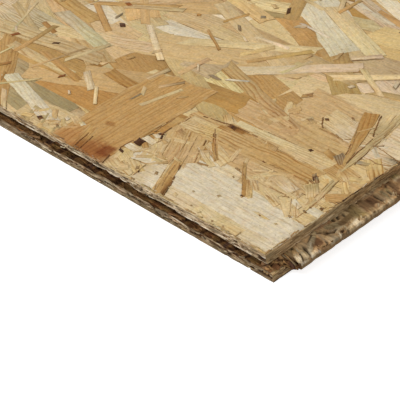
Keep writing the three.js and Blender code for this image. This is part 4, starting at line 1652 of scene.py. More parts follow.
# Heights of the ragged lower edge of the upper lip and of the upper edge of the lower lip: back, height.
upperEdge = [
    (0, 8.9), (26, 8.9), (28, 9.2), (47, 9.4), (56, 9.3), (60, 9.7), (63, 10.2), (73, 10.1), (78, 9.6),
    (83, 9.2), (92, 9.2), (94, 10.2), (96.5, 11), (99, 10.2), (101, 10.2), (103.5, 11.1), (106, 10.2),
    (110, 10), (113, 11.1), (119, 10.1), (126, 10), (131, 11), (134, 10.4), (142, 10), (145, 10.9),
    (149, 11.2), (151, 11.7), (154, 11.2), (156, 10.2), (165, 10.4), (176, 9.9), (190, 10.1),
]
lowerEdge = [
    (0, 4.5), (56, 4.5), (62, 5.1), (66, 5.3), (70, 5.9), (74, 5.2), (78, 4.6), (82, 5.4), (88, 5),
    (96, 5.6), (104, 5.8), (110, 5.2), (116, 5.8), (121, 5.7), (125, 5.1), (135, 5.4), (145, 4.7),
    (148, 5.4), (150, 4.2), (156, 3.8), (162, 4.3), (170, 4), (173, 5.4), (177, 4.4), (181, 5.4),
    (190, 4.4),
]
# Torn strands where the groove floor runs out at the near corner, given in the same way.
moundStrokes = [
    (4.2, 1.2, 1.4, 4, 1, "moundPink", 0.25),
    (1.4, 4, -1.2, 6.4, 0.9, "moundPink", 0.25),
    (2.8, 1.6, 0, 4.4, 0.4, "void", -0.3),
    (1.9, 4.2, 0.3, 7, 0.6, "moundTan", 0.3),
    (0.3, 7, -2.4, 8.6, 0.6, "moundTan", 0.3),
    (0.9, 4.6, -0.6, 6.6, 0.4, "void", -0.3),
    (-0.8, 3.8, -1.4, 4.2, 1.6, "moundOrange", 0),
    (-2.4, 2.6, 0.8, 2.3, 0.45, "moundTan", 0.15),
    (-2.4, 5.6, 0.2, 5.2, 0.4, "void", -0.2),
    (-2, 6.8, -6.3, 9, 0.9, "moundYellow", 0.2),
    (-3.6, 9.7, -7.3, 10.2, 0.7, "moundPurple", 0),
    (-2.1, 0.8, -2.9, 2.9, 0.6, "oliveBrown", 0.1),
    (5.4, 2.2, 4.2, 5, 0.9, "brownDark", -0.2),
    (1.6, 0.8, 3.4, 0.5, 0.5, "moundTan", 0),
]


def strewStrokes(random, start, end):
    # more strokes of the same kinds for both lips, further back from the corner
    lips = []
    place = start
    while place < end:
        length = random.uniform(2, 6)
        height = random.uniform(1.0, 4.0)
        lean = random.uniform(-0.7, 0.7)
        last = place + length
        half, tone = random.uniform(0.35, 0.6), random.choice(["void", "brownDark"])
        lips.append((place, height, last, height + lean, half, tone, -0.4))
        tone = random.choice(["lip", "pinkWood", "greyPale"])
        lips.append((place, height + 0.9, place + length * 1.4, height + lean + 0.8, 0.45, tone, 0.12))
        lips.append((place, 0.9, last, 0.8, 0.6, "greyBrown", 0.0))
        speck = random.uniform(0.8, 4.0)
        lips.append((place + 1, speck, place + 1.9, speck - 0.2, 0.4, "void", -0.4))
        high = random.uniform(11.6, 14.2)
        ends = place + random.uniform(1.5, 5), high - random.uniform(0, 0.9)
        lips.append((place, high, *ends, 0.45, random.choice(["void", "brownDark"]), -0.45))
        starts, ends = random.uniform(11, 13.6), random.uniform(11, 13.6)
        tone = random.choice(["greyPale", "lip", "smudge"])
        lips.append((place + 2, starts, place + 2 + length, ends, 0.6, tone, 0.0))
        place += length * random.uniform(0.7, 1.3)
    return lips


lipStrokes += strewStrokes(np.random.default_rng(29), 56.0, markedBack)


def alongLine(u, v, line):
    # how far along a line each point lies, 0 to 1, and its distance from the line
    u0, v0, u1, v1 = line[:4]
    runU, runV = u1 - u0, v1 - v0
    share = np.clip(((u - u0) * runU + (v - v0) * runV) / math.dist((u0, v0), (u1, v1)) ** 2, 0, 1)
    return share, np.hypot(u - u0 - share * runU, v - v0 - share * runV)


def crackLine(u, v, line):
    return np.clip(1.3 * (1 - alongLine(u, v, line)[1] / line[4]), 0, 1)


def strokeWeight(u, v, stroke):
    # 1 on the stroke, 0 past its rim, and how far along it a point lies
    share, distance = alongLine(u, v, stroke)
    return np.clip((1 - distance / stroke[4]) * 2.6, 0, 1), share


def toned(count, tone):
    return np.tile(linear(tones[tone]), (count, 1))


def stained(tint, weight, tone):
    return tint + (linear(tones[tone]) - tint) * weight[:, None]


def varyRun(tint, run, step, seed, share=0.18):
    # the tone drifts along the run, in brightness and a little in warmth
    level = 1 + share * (wander(run * mm, step * mm, seed) * 2 - 1)
    warmth = share * 0.5 * (wander(run * mm, step * 1.7 * mm, seed + 1) * 2 - 1)
    return tint * level[:, None] * (1 + warmth[:, None] * np.array([1, -0.2, -1.0]))


def ridges(u, v, stroke, seed):
    # fine ridges that run along a stroke, -1 to 1
    u0, v0, u1, v1 = stroke[:4]
    side = ((u - u0) * (v1 - v0) - (v - v0) * (u1 - u0)) / math.dist((u0, v0), (u1, v1))
    return wander(side * mm, 0.75 * mm, seed) * 2 - 1


def painted(tint, u, v, strokes, where, strength=0.85, grain=0.0):
    # tones along strokes; with two tones a stroke runs from one to the other
    for index, stroke in enumerate(strokes):
        weight, share = strokeWeight(u, v, stroke)
        first = linear(tones[stroke[5]])
        last = linear(tones[stroke[6]]) if len(stroke) > 7 else first
        tone = first + (last - first) * share[:, None]
        if grain:
            tone = tone * (1 + grain * ridges(u, v, stroke, index))[:, None]
        tint = tint + (tone - tint) * (weight * strength * where)[:, None]
    return tint


def sidePaint(label, backFrom=None, marked=False):
    # paint for the sawn faces; backFrom is the run of the near corner
    def paint(run, out, z):
        tint = varyRun(toned(len(run), "cheek" if "Cheek" in label else "lip"), run, 7, 51)
        fringe, rough = np.full(len(run), 0.15), np.full(len(run), 1.0)
        outside = out > -0.3
        if label == "upperLip":
            tint = tint * 0.86
            fringe = np.where(z < roofZ + 1.3, 0.7, 0.25)
            rough = np.clip((14.6 - z) / 1.0, 0.3, 1)
        if label == "lowerLip":
            inside = np.clip((-out - 0.1) / 0.5, 0, 1)
            tint = stained(tint * np.array([0.58, 0.56, 0.53]), inside, "floorBrown")
            fringe = np.where(z > floorZ - 0.9, 0.45, 0.1) * (1 - inside)
            rough = np.clip(0.05 + z / 1.5, 0.05, 1)
        if label == "upperCheek":
            low = np.clip((roofZ + 0.9 - z) / 0.9, 0, 1)
            tint = tint * 0.8
            if marked:
                near = np.clip((17 - run) / 4, 0, 1) * np.clip((13.4 - z) / 1.6, 0, 1)
                far = np.clip((run - 50) / 8, 0, 1) * np.clip((z - 10.2) / 1.2, 0, 1)
                tint = tint * (1 + 0.28 * near[:, None] - far[:, None] * np.array([0.17, 0.22, 0.28]))
            fringe, rough = 0.1 + 0.35 * low, np.full(len(run), 0.65)
        if label == "lowerCheek":
            tint = painted(tint * 1.5, run, z, cheekStrokes if marked else [], 1.0, 0.85)
            # painted shade on the top of the lower cheek, where it runs in under the tongue
            tint = tint * (1 - 0.42 * np.clip((gap - 0.15 - out) / 0.3, 0, 1))[:, None]
            fringe, rough = np.full(len(run), 0.1), np.clip(0.15 + z / 2, 0.15, 0.7)
        if backFrom is not None:
            back = backFrom - run
            tint = painted(tint, back, z, lipStrokes, outside, 0.9)
            for stroke in lipStrokes:
                fringe = fringe * (1 - strokeWeight(back, z, stroke)[0] * outside)
            if label == "lowerLip":
                tint = painted(tint, back, -out, floorStrokes, ~outside, 0.95)
                # painted shade on the groove floor deeper in, under the upper lip
                tint = tint * (1 - 0.35 * np.clip((-out - 3.2) / 1.6, 0, 1))[:, None]
                tint = painted(tint, back, -out, moundStrokes, out < -0.15, 0.9)
        return {"tint": tint, "fringe": fringe, "rough": rough}
    return paint


def edgeLine(back, points):
    return np.interp(back, *zip(*points))


def lipShape(label, backFrom=None):
    # the splintered lower edge of the upper lip hangs, and voids sink into both lips
    def adjust(run, out, z):
        back = backFrom - run if backFrom is not None else np.full(len(run), 500.0)
        far = np.clip((back - (markedBack - 2)) / 4, 0, 1)
        if label == "upperLip":
            small = 0.45 * (wander(run * mm, 1.4 * mm, 62) - 0.5)
            wide = roofZ - 0.6 + 1.4 * (wander(run * mm, 5.0 * mm, 61) - 0.5)
            edge = edgeLine(back, upperEdge) * (1 - far) + wide * far + small
            z = z - np.clip((roofZ + 1.9 - z) / 1.8, 0, 1) * (roofZ - edge) * (out > -1.0)
        if label == "lowerLip":
            near = np.clip(1 - np.abs(z - floorZ) / 1.4, 0, 1) * np.clip(1 + out / 1.2, 0, 1)
            small = 0.6 * (wander(run * mm, 1.8 * mm, 63) - 0.5)
            wide = floorZ + 1.4 * (wander(run * mm, 6.0 * mm, 64) - 0.5)
            edge = edgeLine(back, lowerEdge) * (1 - far) + wide * far + small
            z = z + near * (edge - floorZ)
        if backFrom is not None:
            outside = out > -0.3
            for stroke in lipStrokes:
                out = out + np.minimum(strokeWeight(back, z, stroke)[0] * stroke[6] * outside, 0)
            if label == "lowerLip":
                for stroke in floorStrokes + moundStrokes:
                    inside = np.clip((-out - 0.3) / 0.5, 0, 1)
                    z = z + strokeWeight(back, -out, stroke)[0] * stroke[6] * inside
        return run, out, z
    return adjust


def tongueMarks(runStart, runEnd, near):
    # strokes and cracks: listed at the near corner, strewn over the rest
    random = np.random.default_rng(77)
    strokes, cracks = (list(flankStrokes), list(flankCracks)) if near else ([], [])
    place = markedRun if near else runStart + 4
    inner = ["flankRed", "oliveBrown", "oliveDark", "brownDark"]
    inner += ["orangeBrown", "flankPink", "oliveGreyDark", "flank"]
    outer = ["flankPale", "flank", "greyPale", "yellowPale", "orangeBrown", "flankRed"]
    while place < runEnd:
        lean = random.normal(0, 1.6)
        middle = random.uniform(6, 9.5)
        half = random.uniform(0.8, 2.8)
        line = (place, random.uniform(0.5, 2), place + lean, middle - half, half * 1.1)
        pair = random.choice(inner), random.choice(inner)
        strokes.append((*line, *pair, random.uniform(-0.2, 0.3)))
        line = (place + lean, middle + half * 0.5, place + 1.3 * lean, 12.2, half)
        pair = random.choice(outer), random.choice(outer)
        strokes.append((*line, *pair, random.uniform(0, 0.4)))
        if random.uniform(0, 1) < 0.5:
            start = random.uniform(1, 8)
            last = place + half + random.uniform(-1.2, 1.2), start + random.uniform(1.5, 3.5)
            cracks.append((place + half, start, *last, 0.9, random.uniform(0.6, 1.1)))
        place += half * random.uniform(1.0, 1.9)
    return strokes, cracks


def tonguePaint(marks):
    def paint(run, out, z):
        fine = wander(run * mm, 0.8 * mm, 82)[:, None] * 2 - 1
        tint = varyRun(toned(len(run), "flank"), run, 5, 81, 0.2) * (1 + 0.25 * fine)
        low = np.clip((midZ + 0.9 - z) / 0.8, 0, 1)
        nose = np.clip((out - reach + 0.6) / 0.4, 0, 1)
        tint = stained(tint, nose * 0.8, "nose")
        tint = painted(tint, run, out, marks[0], 1 - low, 0.9, 0.35)
        # a painted highlight along the outer band toward the nose, and darker across the middle of the flank
        level = np.interp(out, (0, 2.5, 4.5, 7, 9.5), (0.90, 0.84, 0.74, 0.80, 1.14))
        tint = tint * (level + (0.88 - level) * nose)[:, None]
        # painted shade in the cracks
        for crack in marks[1]:
            tint = tint * (1 - 0.75 * (crackLine(run, out, crack) * (1 - low))[:, None])
        fringe = np.clip((out - 8.5) / 3.0, 0, 1) * (0.15 + 0.35 * wander(run * mm, 5 * mm, 83)) * (1 - low)
        return {"tint": tint, "fringe": fringe, "rough": 0.45 - 0.2 * nose - 0.1 * low}
    return paint


def tongueShape(marks):
    def adjust(run, out, z):
        top, within = z > midZ + 0.5, np.clip((reach - 0.6 - out) / 1.5, 0, 1)
        for index, stroke in enumerate(marks[0]):
            lift = stroke[7] + 0.10 * ridges(run, out, stroke, index)
            z = z + strokeWeight(run, out, stroke)[0] * lift * top * within
        for crack in marks[1]:
            z = z - crackLine(run, out, crack) * crack[5] * top
        notch = 0.05 + 0.6 * wander(run * mm, 3.4 * mm, 85) * wander(run * mm, 1.6 * mm, 86)
        notch = notch * np.clip(0.15 + (run - 16) / 3, 0.15, 1)
        out = out - np.clip((out - 9.0) / 3.0, 0, 1) * notch
        return run, out, z
    return adjust


def endTaper(atNose):
    # the cut end of a tongue narrows towards its nose
    def adjust(run, out, z):
        distance = np.abs(run - atNose)
        half = noseHalf + (rootHalf - noseHalf) * distance / reach
        half = np.where(distance < 0.8, half * (0.7 + 0.3 * distance / 0.8), half)
        return run, out, midZ + (z - midZ) * half / rootHalf
    return adjust


def moundPaint(run, out, z):
    back, inward = longRun / mm - run, -out
    tint = varyRun(toned(len(run), "moundBrown"), run, 1.5, 91, 0.2)
    tint = painted(tint, back, inward, moundStrokes, 1.0, 0.9)
    return {"tint": tint, "fringe": 0.15, "rough": 0.5}


def moundShape(run, out, z):
    back, inward = longRun / mm - run, -out
    rise = np.clip((7.0 - back) / 5.0, 0, 1)
    rise = rise * rise * (3 - 2 * rise) * (1 - 0.6 * np.clip((-0.2 - back) / 2.8, 0, 1))
    base = floorZ - 0.2
    z = base + (z - base) * rise
    for stroke in moundStrokes:
        z = z + strokeWeight(back, inward, stroke)[0] * stroke[6] * 1.4 * rise
    return run, out, z


def buildGrooveEdge(name, side, run, ends, near):
    # ends: how far the lower lip starts and ends past the upper one
    back = run / mm if near else None
    reachTo = markedBack + 2
    spans = (("upperLip", 0, run), ("lowerLip", ends[0], run + ends[1]))
    parts = []
    for label, start, end in spans:
        places = columnPlaces(start, end, run if near else None, 0.7, 3.2, reachTo)
        paint, shape = sidePaint(label, back), lipShape(label, back)
        parts.append(modelSheet(sides[side], places, profiles[label], paint, "sawn", shape))
    if near:
        places = columnPlaces(run - 7.5 * mm, run + expansionGap, None, 0.4, 0.4, 0)
        parts.append(modelSheet(sides[side], places, profiles["mound"], moundPaint, "torn", moundShape))
    return joinSheets(name, parts)


def buildTongueEdge(name, side, run, near):
    # near: this side starts at the near corner
    start = 0 if near else None
    reachTo = markedRun + 12
    lower = (0, run + expansionGap) if near else (-expansionGap, run)
    tongue = (grooveDepth, run + tongueReach) if near else (-tongueReach, run - grooveDepth)
    marks = tongueMarks(tongue[0] / mm, tongue[1] / mm, near)
    parts = []
    for label, span, cell, surface, paint, shape in (
        ("upperCheek", (0, run), 0.6, "sawn", sidePaint("upperCheek", marked=near), None),
        ("tongue", tongue, 0.45, "torn", tonguePaint(marks), tongueShape(marks)),
        ("lowerCheek", lower, 0.7, "sawn", sidePaint("lowerCheek", marked=near), None),
    ):
        places = columnPlaces(*span, start, cell, 3.2, reachTo)
        parts.append(modelSheet(sides[side], places, profiles[label], paint, surface, shape))
    places = columnPlaces(0, tongueReach, None, 0.45, 0.45, 0)
    taper = endTaper(reach if near else 0)
    parts.append(modelSheet(sides[side + "End"], places, profiles["tongueEnd"], endPaint, "torn", taper))
    return joinSheets(name, parts)


def endPaint(run, out, z):
    return {"tint": varyRun(toned(len(run), "brownDark"), run, 2, 95, 0.3), "fringe": 0.25, "rough": 0.7}


pieces.append(buildGrooveEdge("groove_edge_long", "south", longRun, (0, expansionGap), True))
pieces.append(buildGrooveEdge("groove_edge_short", "west", shortRun, (-expansionGap, 0), False))
pieces.append(buildTongueEdge("tongue_edge_short", "east", shortRun, True))
pieces.append(buildTongueEdge("tongue_edge_long", "north", longRun, False))


def sidePoint(side, run, out, z):
    base, along, outward = side["base"], side["along"], side["out"]
    return (base[0] + along[0] * run + outward[0] * out, base[1] + along[1] * run + outward[1] * out, z)


def flankHeight(out):
    return tongueMiddle + tongueRoot / 2 - math.tan(slope) * out


def addFlake(batch, random, first, last, kind, width, tone, toneFar, pick, roll):
    # first and last: the points at both ends of the flake
    first, last = Vector(first), Vector(last)
    along = (last - first).normalized()
    across = Vector((0, 0, 1)).cross(along).normalized()
    upward = along.cross(across)
    across = across * math.cos(roll) + upward * math.sin(roll)
    axes = (tuple(along), tuple(across), tuple(along.cross(across)))
    tint, far = varied(random, tone, 0.05), varied(random, toneFar, 0.05)
    middle, length = tuple((first + last) / 2), (last - first).length
    addStrand(batch, kind, pick, middle, axes, length, width, tint, (0.4, 1.2), far)


def countAlong(runs, spacing):
    return int((runs[1] - runs[0]) / (spacing * mm))


def strewFlank(batch, random, side, runs, spacing):
    # broken strand ends that lie on the tongue and point out from the board
    for _ in range(countAlong(runs, spacing)):
        run = random.uniform(*runs)
        out = random.uniform(0.5, 6.5) * mm
        length = random.uniform(3.5, 8) * mm
        lean = random.normal(0, 0.35)
        last = min(out + length * math.cos(lean), 11.3 * mm)
        shift = length * math.sin(lean)
        lift = random.uniform(-0.25, 0.05) * mm
        tip = random.uniform(-0.15, 0.3) * mm
        kind = "flake" if random.uniform(0, 1) < 0.5 else "splinter"
        width = (random.uniform(1.2, 2.8) if kind == "flake" else random.uniform(0.5, 1.2)) * mm
        tone = random.choice(["flank", "flank", "oliveBrown", "greyBrown", "flankRed", "orangeBrown"])
        toneFar = random.choice([tone, "flankPale", "flank", "lip"] if last > 8.5 * mm else [tone, "flank"])
        if min(run, run + shift) < runs[0] or max(run, run + shift) > runs[1]:
            continue
        first = sidePoint(side, run, out, flankHeight(out) + lift)
        end = sidePoint(side, run + shift, last, flankHeight(last) + lift + tip)
        pick, roll = anyShape(random), random.normal(0, 0.15)
        addFlake(batch, random, first, end, kind, width, tone, toneFar, pick, roll)


def strewFringe(batch, random, side, runs, spacing):
    # frayed ends along the nose
    for _ in range(countAlong(runs, spacing)):
        run = random.uniform(*runs)
        out = random.uniform(8.4, 10.0) * mm
        last = min(out + random.uniform(1.6, 3.2) * mm, 11.8 * mm)
        sideways = random.normal(0, 0.8) * mm
        first = sidePoint(side, run, out, flankHeight(out) - 0.15 * mm)
        end = sidePoint(side, run + sideways, last, flankHeight(last) - random.uniform(0.1, 0.9) * mm)
        width = random.uniform(0.5, 1.3) * mm
        tone = random.choice(["flank", "flankPale"])
        toneFar = random.choice(["flankPale", "flank", "flankPink"])
        pick, roll = anyShape(random), random.normal(0, 0.2)
        addFlake(batch, random, first, end, "splinter", width, tone, toneFar, pick, roll)


def strewFloor(batch, random, side, runs):
    # torn strands on the lower lip inside the groove
    for _ in range(countAlong(runs, 7)):
        run = random.uniform(*runs)
        out = -random.uniform(0.6, 6.0) * mm
        yaw = random.normal(0, 0.2)
        length = random.uniform(6, 18) * mm
        half = Vector((math.cos(yaw), math.sin(yaw))) * length / 2
        starts = (max(run - half.x, runs[0]), min(out - half.y, -0.2 * mm))
        ends = (min(run + half.x, runs[1]), min(out + half.y, -0.2 * mm))
        tone = random.choice(["floorBrown", "flankRed", "brownDark", "floorBrown"])
        first = sidePoint(side, *starts, grooveFloor - random.uniform(0.1, 0.4) * mm)
        last = sidePoint(side, *ends, grooveFloor + random.uniform(-0.3, 0.4) * mm)
        width = random.uniform(0.5, 1.4) * mm
        toneFar = random.choice([tone, "floorBrown", "orangeBrown"])
        pick, roll = anyShape(random), random.normal(0, 0.25)
        addFlake(batch, random, first, last, "splinter", width, tone, toneFar, pick, roll)


def strewLip(batch, random, side, runs):
    # chips along the ragged lower edge of the upper lip and on the faces of both lips
    sunk = -0.2 * mm
    for _ in range(countAlong(runs, 2.6)):
        run = random.uniform(*runs)
        length = random.uniform(2.5, 10) * mm
        height = random.choice([0.1, 0.6, 1.4, 2.4, 3.3]) + random.normal(0, 0.2)
        z = (roofZ + height) * mm if random.uniform(0, 1) < 0.6 else random.uniform(0.5, floorZ - 0.2) * mm
        dip = random.normal(0, 0.2) * mm
        starts, ends = max(run - length / 2, runs[0]), min(run + length / 2, runs[1])
        if ends - starts < 1.5 * mm:
            continue
        tone = random.choice(["lip", "lip", "greyPale", "smudge", "pinkWood"])
        first, last = sidePoint(side, starts, sunk, z - dip), sidePoint(side, ends, sunk, z + dip)
        width, toneFar = random.uniform(0.3, 0.7) * mm, random.choice([tone, "lip"])
        pick, roll = anyShape(random), math.pi / 2 + random.normal(0, 0.15)
        addFlake(batch, random, first, last, "splinter", width, tone, toneFar, pick, roll)


# Torn strands on the tongue by the near corner: run, outward and lift of both ends in millimetres.
flankFlakes = [
    ("petal", (14.4, 2, 0.15), (9.6, 12.3, 0.3), 2.4, "flank", "petalPale", 0, 0.1),
    ("petal", (17.6, 1.8, 0.1), (13.6, 12.6, 0.2), 3, "greyPale", "flankPale", 1, -0.1),
    ("splinter", (22, 6.4, 0.15), (18, 9.6, 0.2), 1.4, "greyPale", "greyPale", 0, 0.1),
    ("splinter", (35.7, 9.2, 0.1), (35.6, 12, 0.15), 0.7, "flankPale", "petalPale", 2, 0),
]
# Torn strands between the lips at the near corner and across the groove: back, inward and height of
# both ends.
moundFlakes = [
    ("splinter", (4.2, 1.2, 5), (1.2, 4.2, 7.6), 1.3, "moundPink", "moundBrown", 0, -0.5),
    ("splinter", (1.8, 4.6, 5.8), (-2.2, 8.4, 6.2), 0.6, "moundTan", "moundTan", 2, -0.3),
    ("splinter", (1.6, 2.2, 4.8), (-2.4, 2.7, 4.9), 0.5, "moundTan", "moundYellow", 0, -0.2),
    ("splinter", (-2, 6.4, 5.2), (-5.6, 9.2, 5), 0.8, "moundYellow", "moundTan", 0, 0.4),
    ("splinter", (-0.4, 9.7, 9), (-10, 9.7, 6.4), 0.5, "greyBrown", "moundBrown", 2, 1.3),
    ("splinter", (-1.4, 9.6, 9.5), (-9.8, 9.7, 7.7), 0.45, "moundTan", "greyBrown", 1, 1.3),
    ("splinter", (-0.8, 9.6, 8.4), (-10.8, 9.7, 7.1), 0.5, "brownDark", "moundBrown", 2, 1.3),
    ("splinter", (-0.8, 9.5, 7), (-7.4, 9.5, 5.8), 0.6, "moundPink", "moundBrown", 0, 1.2),
    ("splinter", (-0.6, 9.6, 7.6), (-9, 9.6, 5.6), 1.2, "moundBrown", "moundPurple", 1, 1.3),
    ("flake", (-1.6, 9.5, 6), (-8, 9.6, 4.8), 1.8, "moundBrown", "moundPurple", 0, 1.2),
    ("flake", (-4.6, 9.5, 5.4), (-10.8, 9.8, 6.1), 1.5, "brownDark", "moundBrown", 1, 1.2),
    ("splinter", (-2.6, 9.2, 3.6), (-6.6, 9.6, 4.3), 1.3, "brownDark", "moundBrown", 2, 1.2),
    ("splinter", (183, 0.5, 3.6), (170, 0.7, 6.8), 0.9, "floorBrown", "moundPink", 0, 1.2),
    ("splinter", (181, 0.9, 4.4), (172, 1, 8.6), 0.8, "floorBrown", "moundBrown", 1, 1.2),
    ("splinter", (189, 0.6, 5.2), (178, 0.8, 4.8), 1, "floorBrown", "moundPink", 2, 1.2),
    ("splinter", (167, 0.8, 4.4), (157, 0.9, 5.6), 0.8, "moundPink", "floorBrown", 1, 1.2),
    ("splinter", (68, 0.8, 5), (59, 2.6, 5.6), 0.7, "moundPink", "floorBrown", 0, 0.6),
]
# Twisted strands that bridge from the groove floor to the foot of the tongue, given in the same way.
bridgeFlakes = [
    ("splinter", (4.6, 1.5, 5.2), (-0.2, 6.2, 9), 1.2, "moundPink", "moundPink", 0, -0.6),
    ("splinter", (2.4, 2, 5.2), (-0.3, 5, 7.5), 0.45, "moundTan", "moundTan", 1, -0.5),
    ("splinter", (0.1, 4.7, 7.4), (-3.1, 7.1, 7.1), 0.5, "moundTan", "moundTan", 2, -0.2),
    ("splinter", (-2.7, 6.8, 7.2), (-6.2, 9.5, 4.9), 0.5, "moundTan", "moundPink", 0, 0.2),
    ("splinter", (0.6, 5.2, 8.7), (-3.1, 8.1, 7.4), 0.45, "void", "brownDark", 1, -0.2),
    ("splinter", (2.2, 0.9, 4.9), (-2.4, 3, 5.2), 0.5, "moundTan", "moundYellow", 2, -0.2),
]


def flankSpot(spot):
    run, out, lift = (value * mm for value in spot)
    return sidePoint(sides["east"], run, out, flankHeight(out) + lift)


def cornerSpot(spot):
    back, inward, height = spot
    return (*fromCorner(back, inward), height * mm)


def placeFlakes(batch, random, rows, spotAt):
    for kind, start, end, width, *rest in rows:
        addFlake(batch, random, spotAt(start), spotAt(end), kind, width * mm, *rest)


def buildFlakes():
    random = np.random.default_rng(19)
    flank, lip = newBatch(), newBatch()
    # the flakes stay this far from the cut ends of the tongues
    clear = 0.5 * mm
    east = (grooveDepth + clear, shortRun + tongueReach - clear)
    north = (-tongueReach + clear, longRun - grooveDepth - clear)
    strewFlank(flank, random, sides["east"], ((markedRun + 2) * mm, east[1]), 4.0)
    strewFlank(flank, random, sides["north"], north, 4.5)
    strewFringe(flank, random, sides["east"], east, 3.2)
    strewFringe(flank, random, sides["north"], north, 5.0)
    placeFlakes(flank, random, flankFlakes, flankSpot)
    placeFlakes(flank, random, moundFlakes, cornerSpot)
    strewFloor(lip, random, sides["south"], (0, longRun - (markedBack + 4) * mm))
    strewLip(lip, random, sides["south"], (0, longRun))
    strewFloor(lip, random, sides["west"], (-expansionGap, shortRun))
    strewLip(lip, random, sides["west"], (0, shortRun))
    placeFlakes(flank, random, bridgeFlakes, cornerSpot)
    box = ((low.x, low.y, 0), (high.x, high.y, topZ))
    tongueFlakes = joinBatch("tongue_flakes", flank, tornWood, *box, 9, walls=False)
    return [tongueFlakes, joinBatch("lip_chips", lip, tornWood, *box, 10, walls=False)]


pieces += buildFlakes()

# The body behind the strands: the CAD solid's own shape, set back from what covers it.
coreInset = {"faces": 0.95, "lips": 1.3, "nose": 1.9, "tongue": 1.5, "floor": 1.2}


def coreMaterial():
    material, tree, shader = newMaterial("coreStrands")
    place = makeNode(tree, "ShaderNodeTexCoord").outputs["Object"]
    patches = makeNode(tree, "ShaderNodeTexVoronoi", {"feature": "F1"}, Vector=place, Scale=180.0)
    fine = noise3(tree, place, 900.0, 3.0)
    dark, light = opaque("coreBrown", 0.55), opaque("coreBrown", 1.9)
    tone = mixColor(tree, patches.outputs["Color"], dark, light)
    color = mixColor(tree, times(tree, fine, 0.6), tone, opaque("bark"))
    finishWood(tree, shader, color, timesPlus(tree, fine, 0.25, 0.65), fine, 0.6, depth=0.6)
    return material


def buildCore():
    node = frame["nodes"]["osb_panel"]
    core = node.copy()
    core.data = node.data.copy()
    core.name = "board_core"
    core.parent = None
    for key in list(core.keys()):
        del core[key]
    bpy.context.scene.collection.objects.link(core)
    selectOnly(core)
    setMode("EDIT")
    selectMesh()
    bpy.ops.mesh.remove_doubles(threshold=0.001 * mm)
    faces, lips, nose, tongue, floor = (
        coreInset[key] * mm for key in ("faces", "lips", "nose", "tongue", "floor")
    )
    # how near a point counts as on a line: flat faces, the nose, the cheeks and the groove floor
    tiny, atNose, atCheek, atFloor = 0.02 * mm, 1.2 * mm, 0.6 * mm, 0.45 * mm
    grooveZone = grooveDepth * 1.2

    def onTongue(co):
        # away from where a groove has cut the tongue back
        return min(co.x - low.x, co.y - low.y) > grooveDepth - 0.15 * mm

    def upperRoot(co):
        return onTongue(co) and tongueMiddle < co.z < tongueMiddle + tongueRoot

    def lowerRoot(co):
        return onTongue(co) and tongueMiddle - tongueRoot < co.z < tongueMiddle

    def inGroove(co):
        return co.y < low.y + grooveZone or co.x < low.x + grooveZone

    moves = [
        (lambda co: co.z > topZ - tiny, (0, 0, -faces)),
        (lambda co: co.z < tiny, (0, 0, faces)),
        (lambda co: co.x > faceEast - tiny and upperRoot(co), (0, 0, -tongue)),
        (lambda co: co.x > cheekEast - tiny and lowerRoot(co), (0, 0, tongue)),
        (lambda co: co.y > faceNorth - tiny and co.x < faceEast - tiny and upperRoot(co), (0, 0, -tongue)),
        (lambda co: co.y > cheekNorth - tiny and co.x < cheekEast - tiny and lowerRoot(co), (0, 0, tongue)),
        (lambda co: co.y < low.y + tiny, (0, lips, 0)),
        (lambda co: co.x < low.x + tiny, (lips, 0, 0)),
        (lambda co: co.y > high.y - atNose, (0, -nose, 0)),
        (lambda co: co.x > high.x - atNose, (-nose, 0, 0)),
        (lambda co: abs(co.y - faceNorth) < atCheek, (0, -lips, 0)),
        (lambda co: abs(co.x - faceEast) < atCheek, (-lips, 0, 0)),
        (lambda co: abs(co.y - cheekNorth) < atCheek, (0, -lips, 0)),
        (lambda co: abs(co.x - cheekEast) < atCheek, (-lips, 0, 0)),
        (lambda co: abs(co.z - grooveFloor) < atFloor and inGroove(co), (0, 0, -floor)),
    ]
    for wanted, shift in moves:
        selectVerts(core.data, wanted)
        bpy.ops.transform.translate(value=shift)
    setMode("OBJECT")
    core.data.materials.clear()
    core.data.materials.append(coreMaterial())
    return core


core = buildCore()
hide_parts("osb_panel")
pieces.append(core)
for piece in pieces:
    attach(piece, "root")
print("board built from", len(pieces), "pieces")

# Floor, light and camera.
stageLook = {
    "floorSize": 120.0,
    "floorTone": 0.7,
    "floorGlow": 0.76,
    "skyLight": 0.70,
    "sun": 1.25,
    "sunFrom": (-0.35, -0.78, 1.15),
    "sunAngle": 20,
}


def seenByCamera(tree):
    paths = makeNode(tree, "ShaderNodeLightPath")
    seen = math2(tree, "MAXIMUM", paths.outputs["Is Camera Ray"], paths.outputs["Is Glossy Ray"])
    return math2(tree, "MAXIMUM", seen, paths.outputs["Is Transmission Ray"])


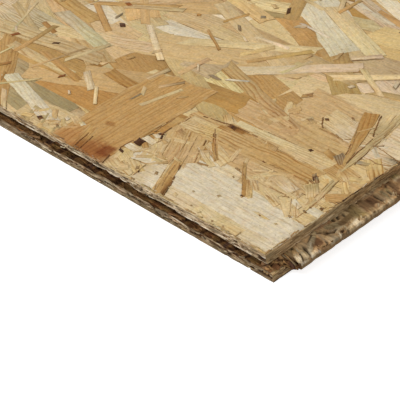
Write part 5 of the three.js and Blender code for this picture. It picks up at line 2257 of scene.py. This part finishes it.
def buildStage():
    deselectAll()
    bpy.ops.mesh.primitive_plane_add(size=stageLook["floorSize"], location=(0, 0, -0.1 * mm))
    floor = bpy.context.object
    floor.name = "floor"
    material, tree, shader = newMaterial("paleFloor")
    tree.nodes.remove(shader)
    tone = stageLook["floorTone"]
    matte = makeNode(tree, "ShaderNodeBsdfDiffuse", Color=(tone, tone, tone, 1))
    shine = times(tree, seenByCamera(tree), stageLook["floorGlow"])
    glow = makeNode(tree, "ShaderNodeEmission", Color=(1, 1, 1, 1), Strength=shine)
    both = makeNode(tree, "ShaderNodeAddShader", i0=matte.outputs[0], i1=glow.outputs[0])
    link(tree, both.outputs[0], tree.nodes["Material Output"].inputs["Surface"])
    floor.data.materials.append(material)

    world = bpy.data.worlds.new("studio")
    bpy.context.scene.world = world
    world.use_nodes = True
    tree = world.node_tree
    background = tree.nodes["Background"]
    background.inputs["Color"].default_value = (1.0, 1.0, 1.0, 1)
    sky = stageLook["skyLight"]
    light = timesPlus(tree, seenByCamera(tree), 1.0 - sky, sky)
    link(tree, light, background.inputs["Strength"])

    sun = bpy.data.lights.new("softKey", "SUN")
    sun.energy = stageLook["sun"]
    sun.angle = math.radians(stageLook["sunAngle"])
    lamp = bpy.data.objects.new("softKey", sun)
    bpy.context.scene.collection.objects.link(lamp)
    lamp.rotation_euler = Vector(stageLook["sunFrom"]).to_track_quat("Z", "Y").to_euler()


# The camera is set by where the near upper corner stands in a picture of the given side.
cameraPlace = {
    "yaw": 53.31,
    "pitch": 35.668,
    "roll": 9.195,
    "distance": 0.75506,
    "cornerPixel": (265.2, 254.2),
    "focalPixels": 1700,
    "pictureSide": 400,
}


def buildCamera():
    yaw, pitch, roll = (math.radians(cameraPlace[key]) for key in ("yaw", "pitch", "roll"))
    focal, side = cameraPlace["focalPixels"], cameraPlace["pictureSide"]
    forward = Vector((-math.cos(pitch) * math.sin(yaw), math.cos(pitch) * math.cos(yaw), -math.sin(pitch)))
    level = Vector((math.cos(yaw), math.sin(yaw), 0))
    down = forward.cross(level)
    right = level * math.cos(roll) + down * math.sin(roll)
    down = down * math.cos(roll) - level * math.sin(roll)
    pixel = cameraPlace["cornerPixel"]
    ray = forward + right * (pixel[0] - side / 2) / focal + down * (pixel[1] - side / 2) / focal
    corner = Vector((faceEast, low.y, topZ))
    data = bpy.data.cameras.new("camera")
    data.sensor_width = 36
    data.lens = focal / side * data.sensor_width
    data.clip_start = 0.01
    data.clip_end = 200
    camera = bpy.data.objects.new("camera", data)
    bpy.context.scene.collection.objects.link(camera)
    turn = Matrix((right, -down, -forward)).transposed().to_4x4()
    camera.matrix_world = Matrix.Translation(corner - ray * cameraPlace["distance"]) @ turn
    bpy.context.scene.camera = camera


buildStage()
buildCamera()
bpy.context.scene.view_settings.view_transform = "Standard"
print("stage and camera set")
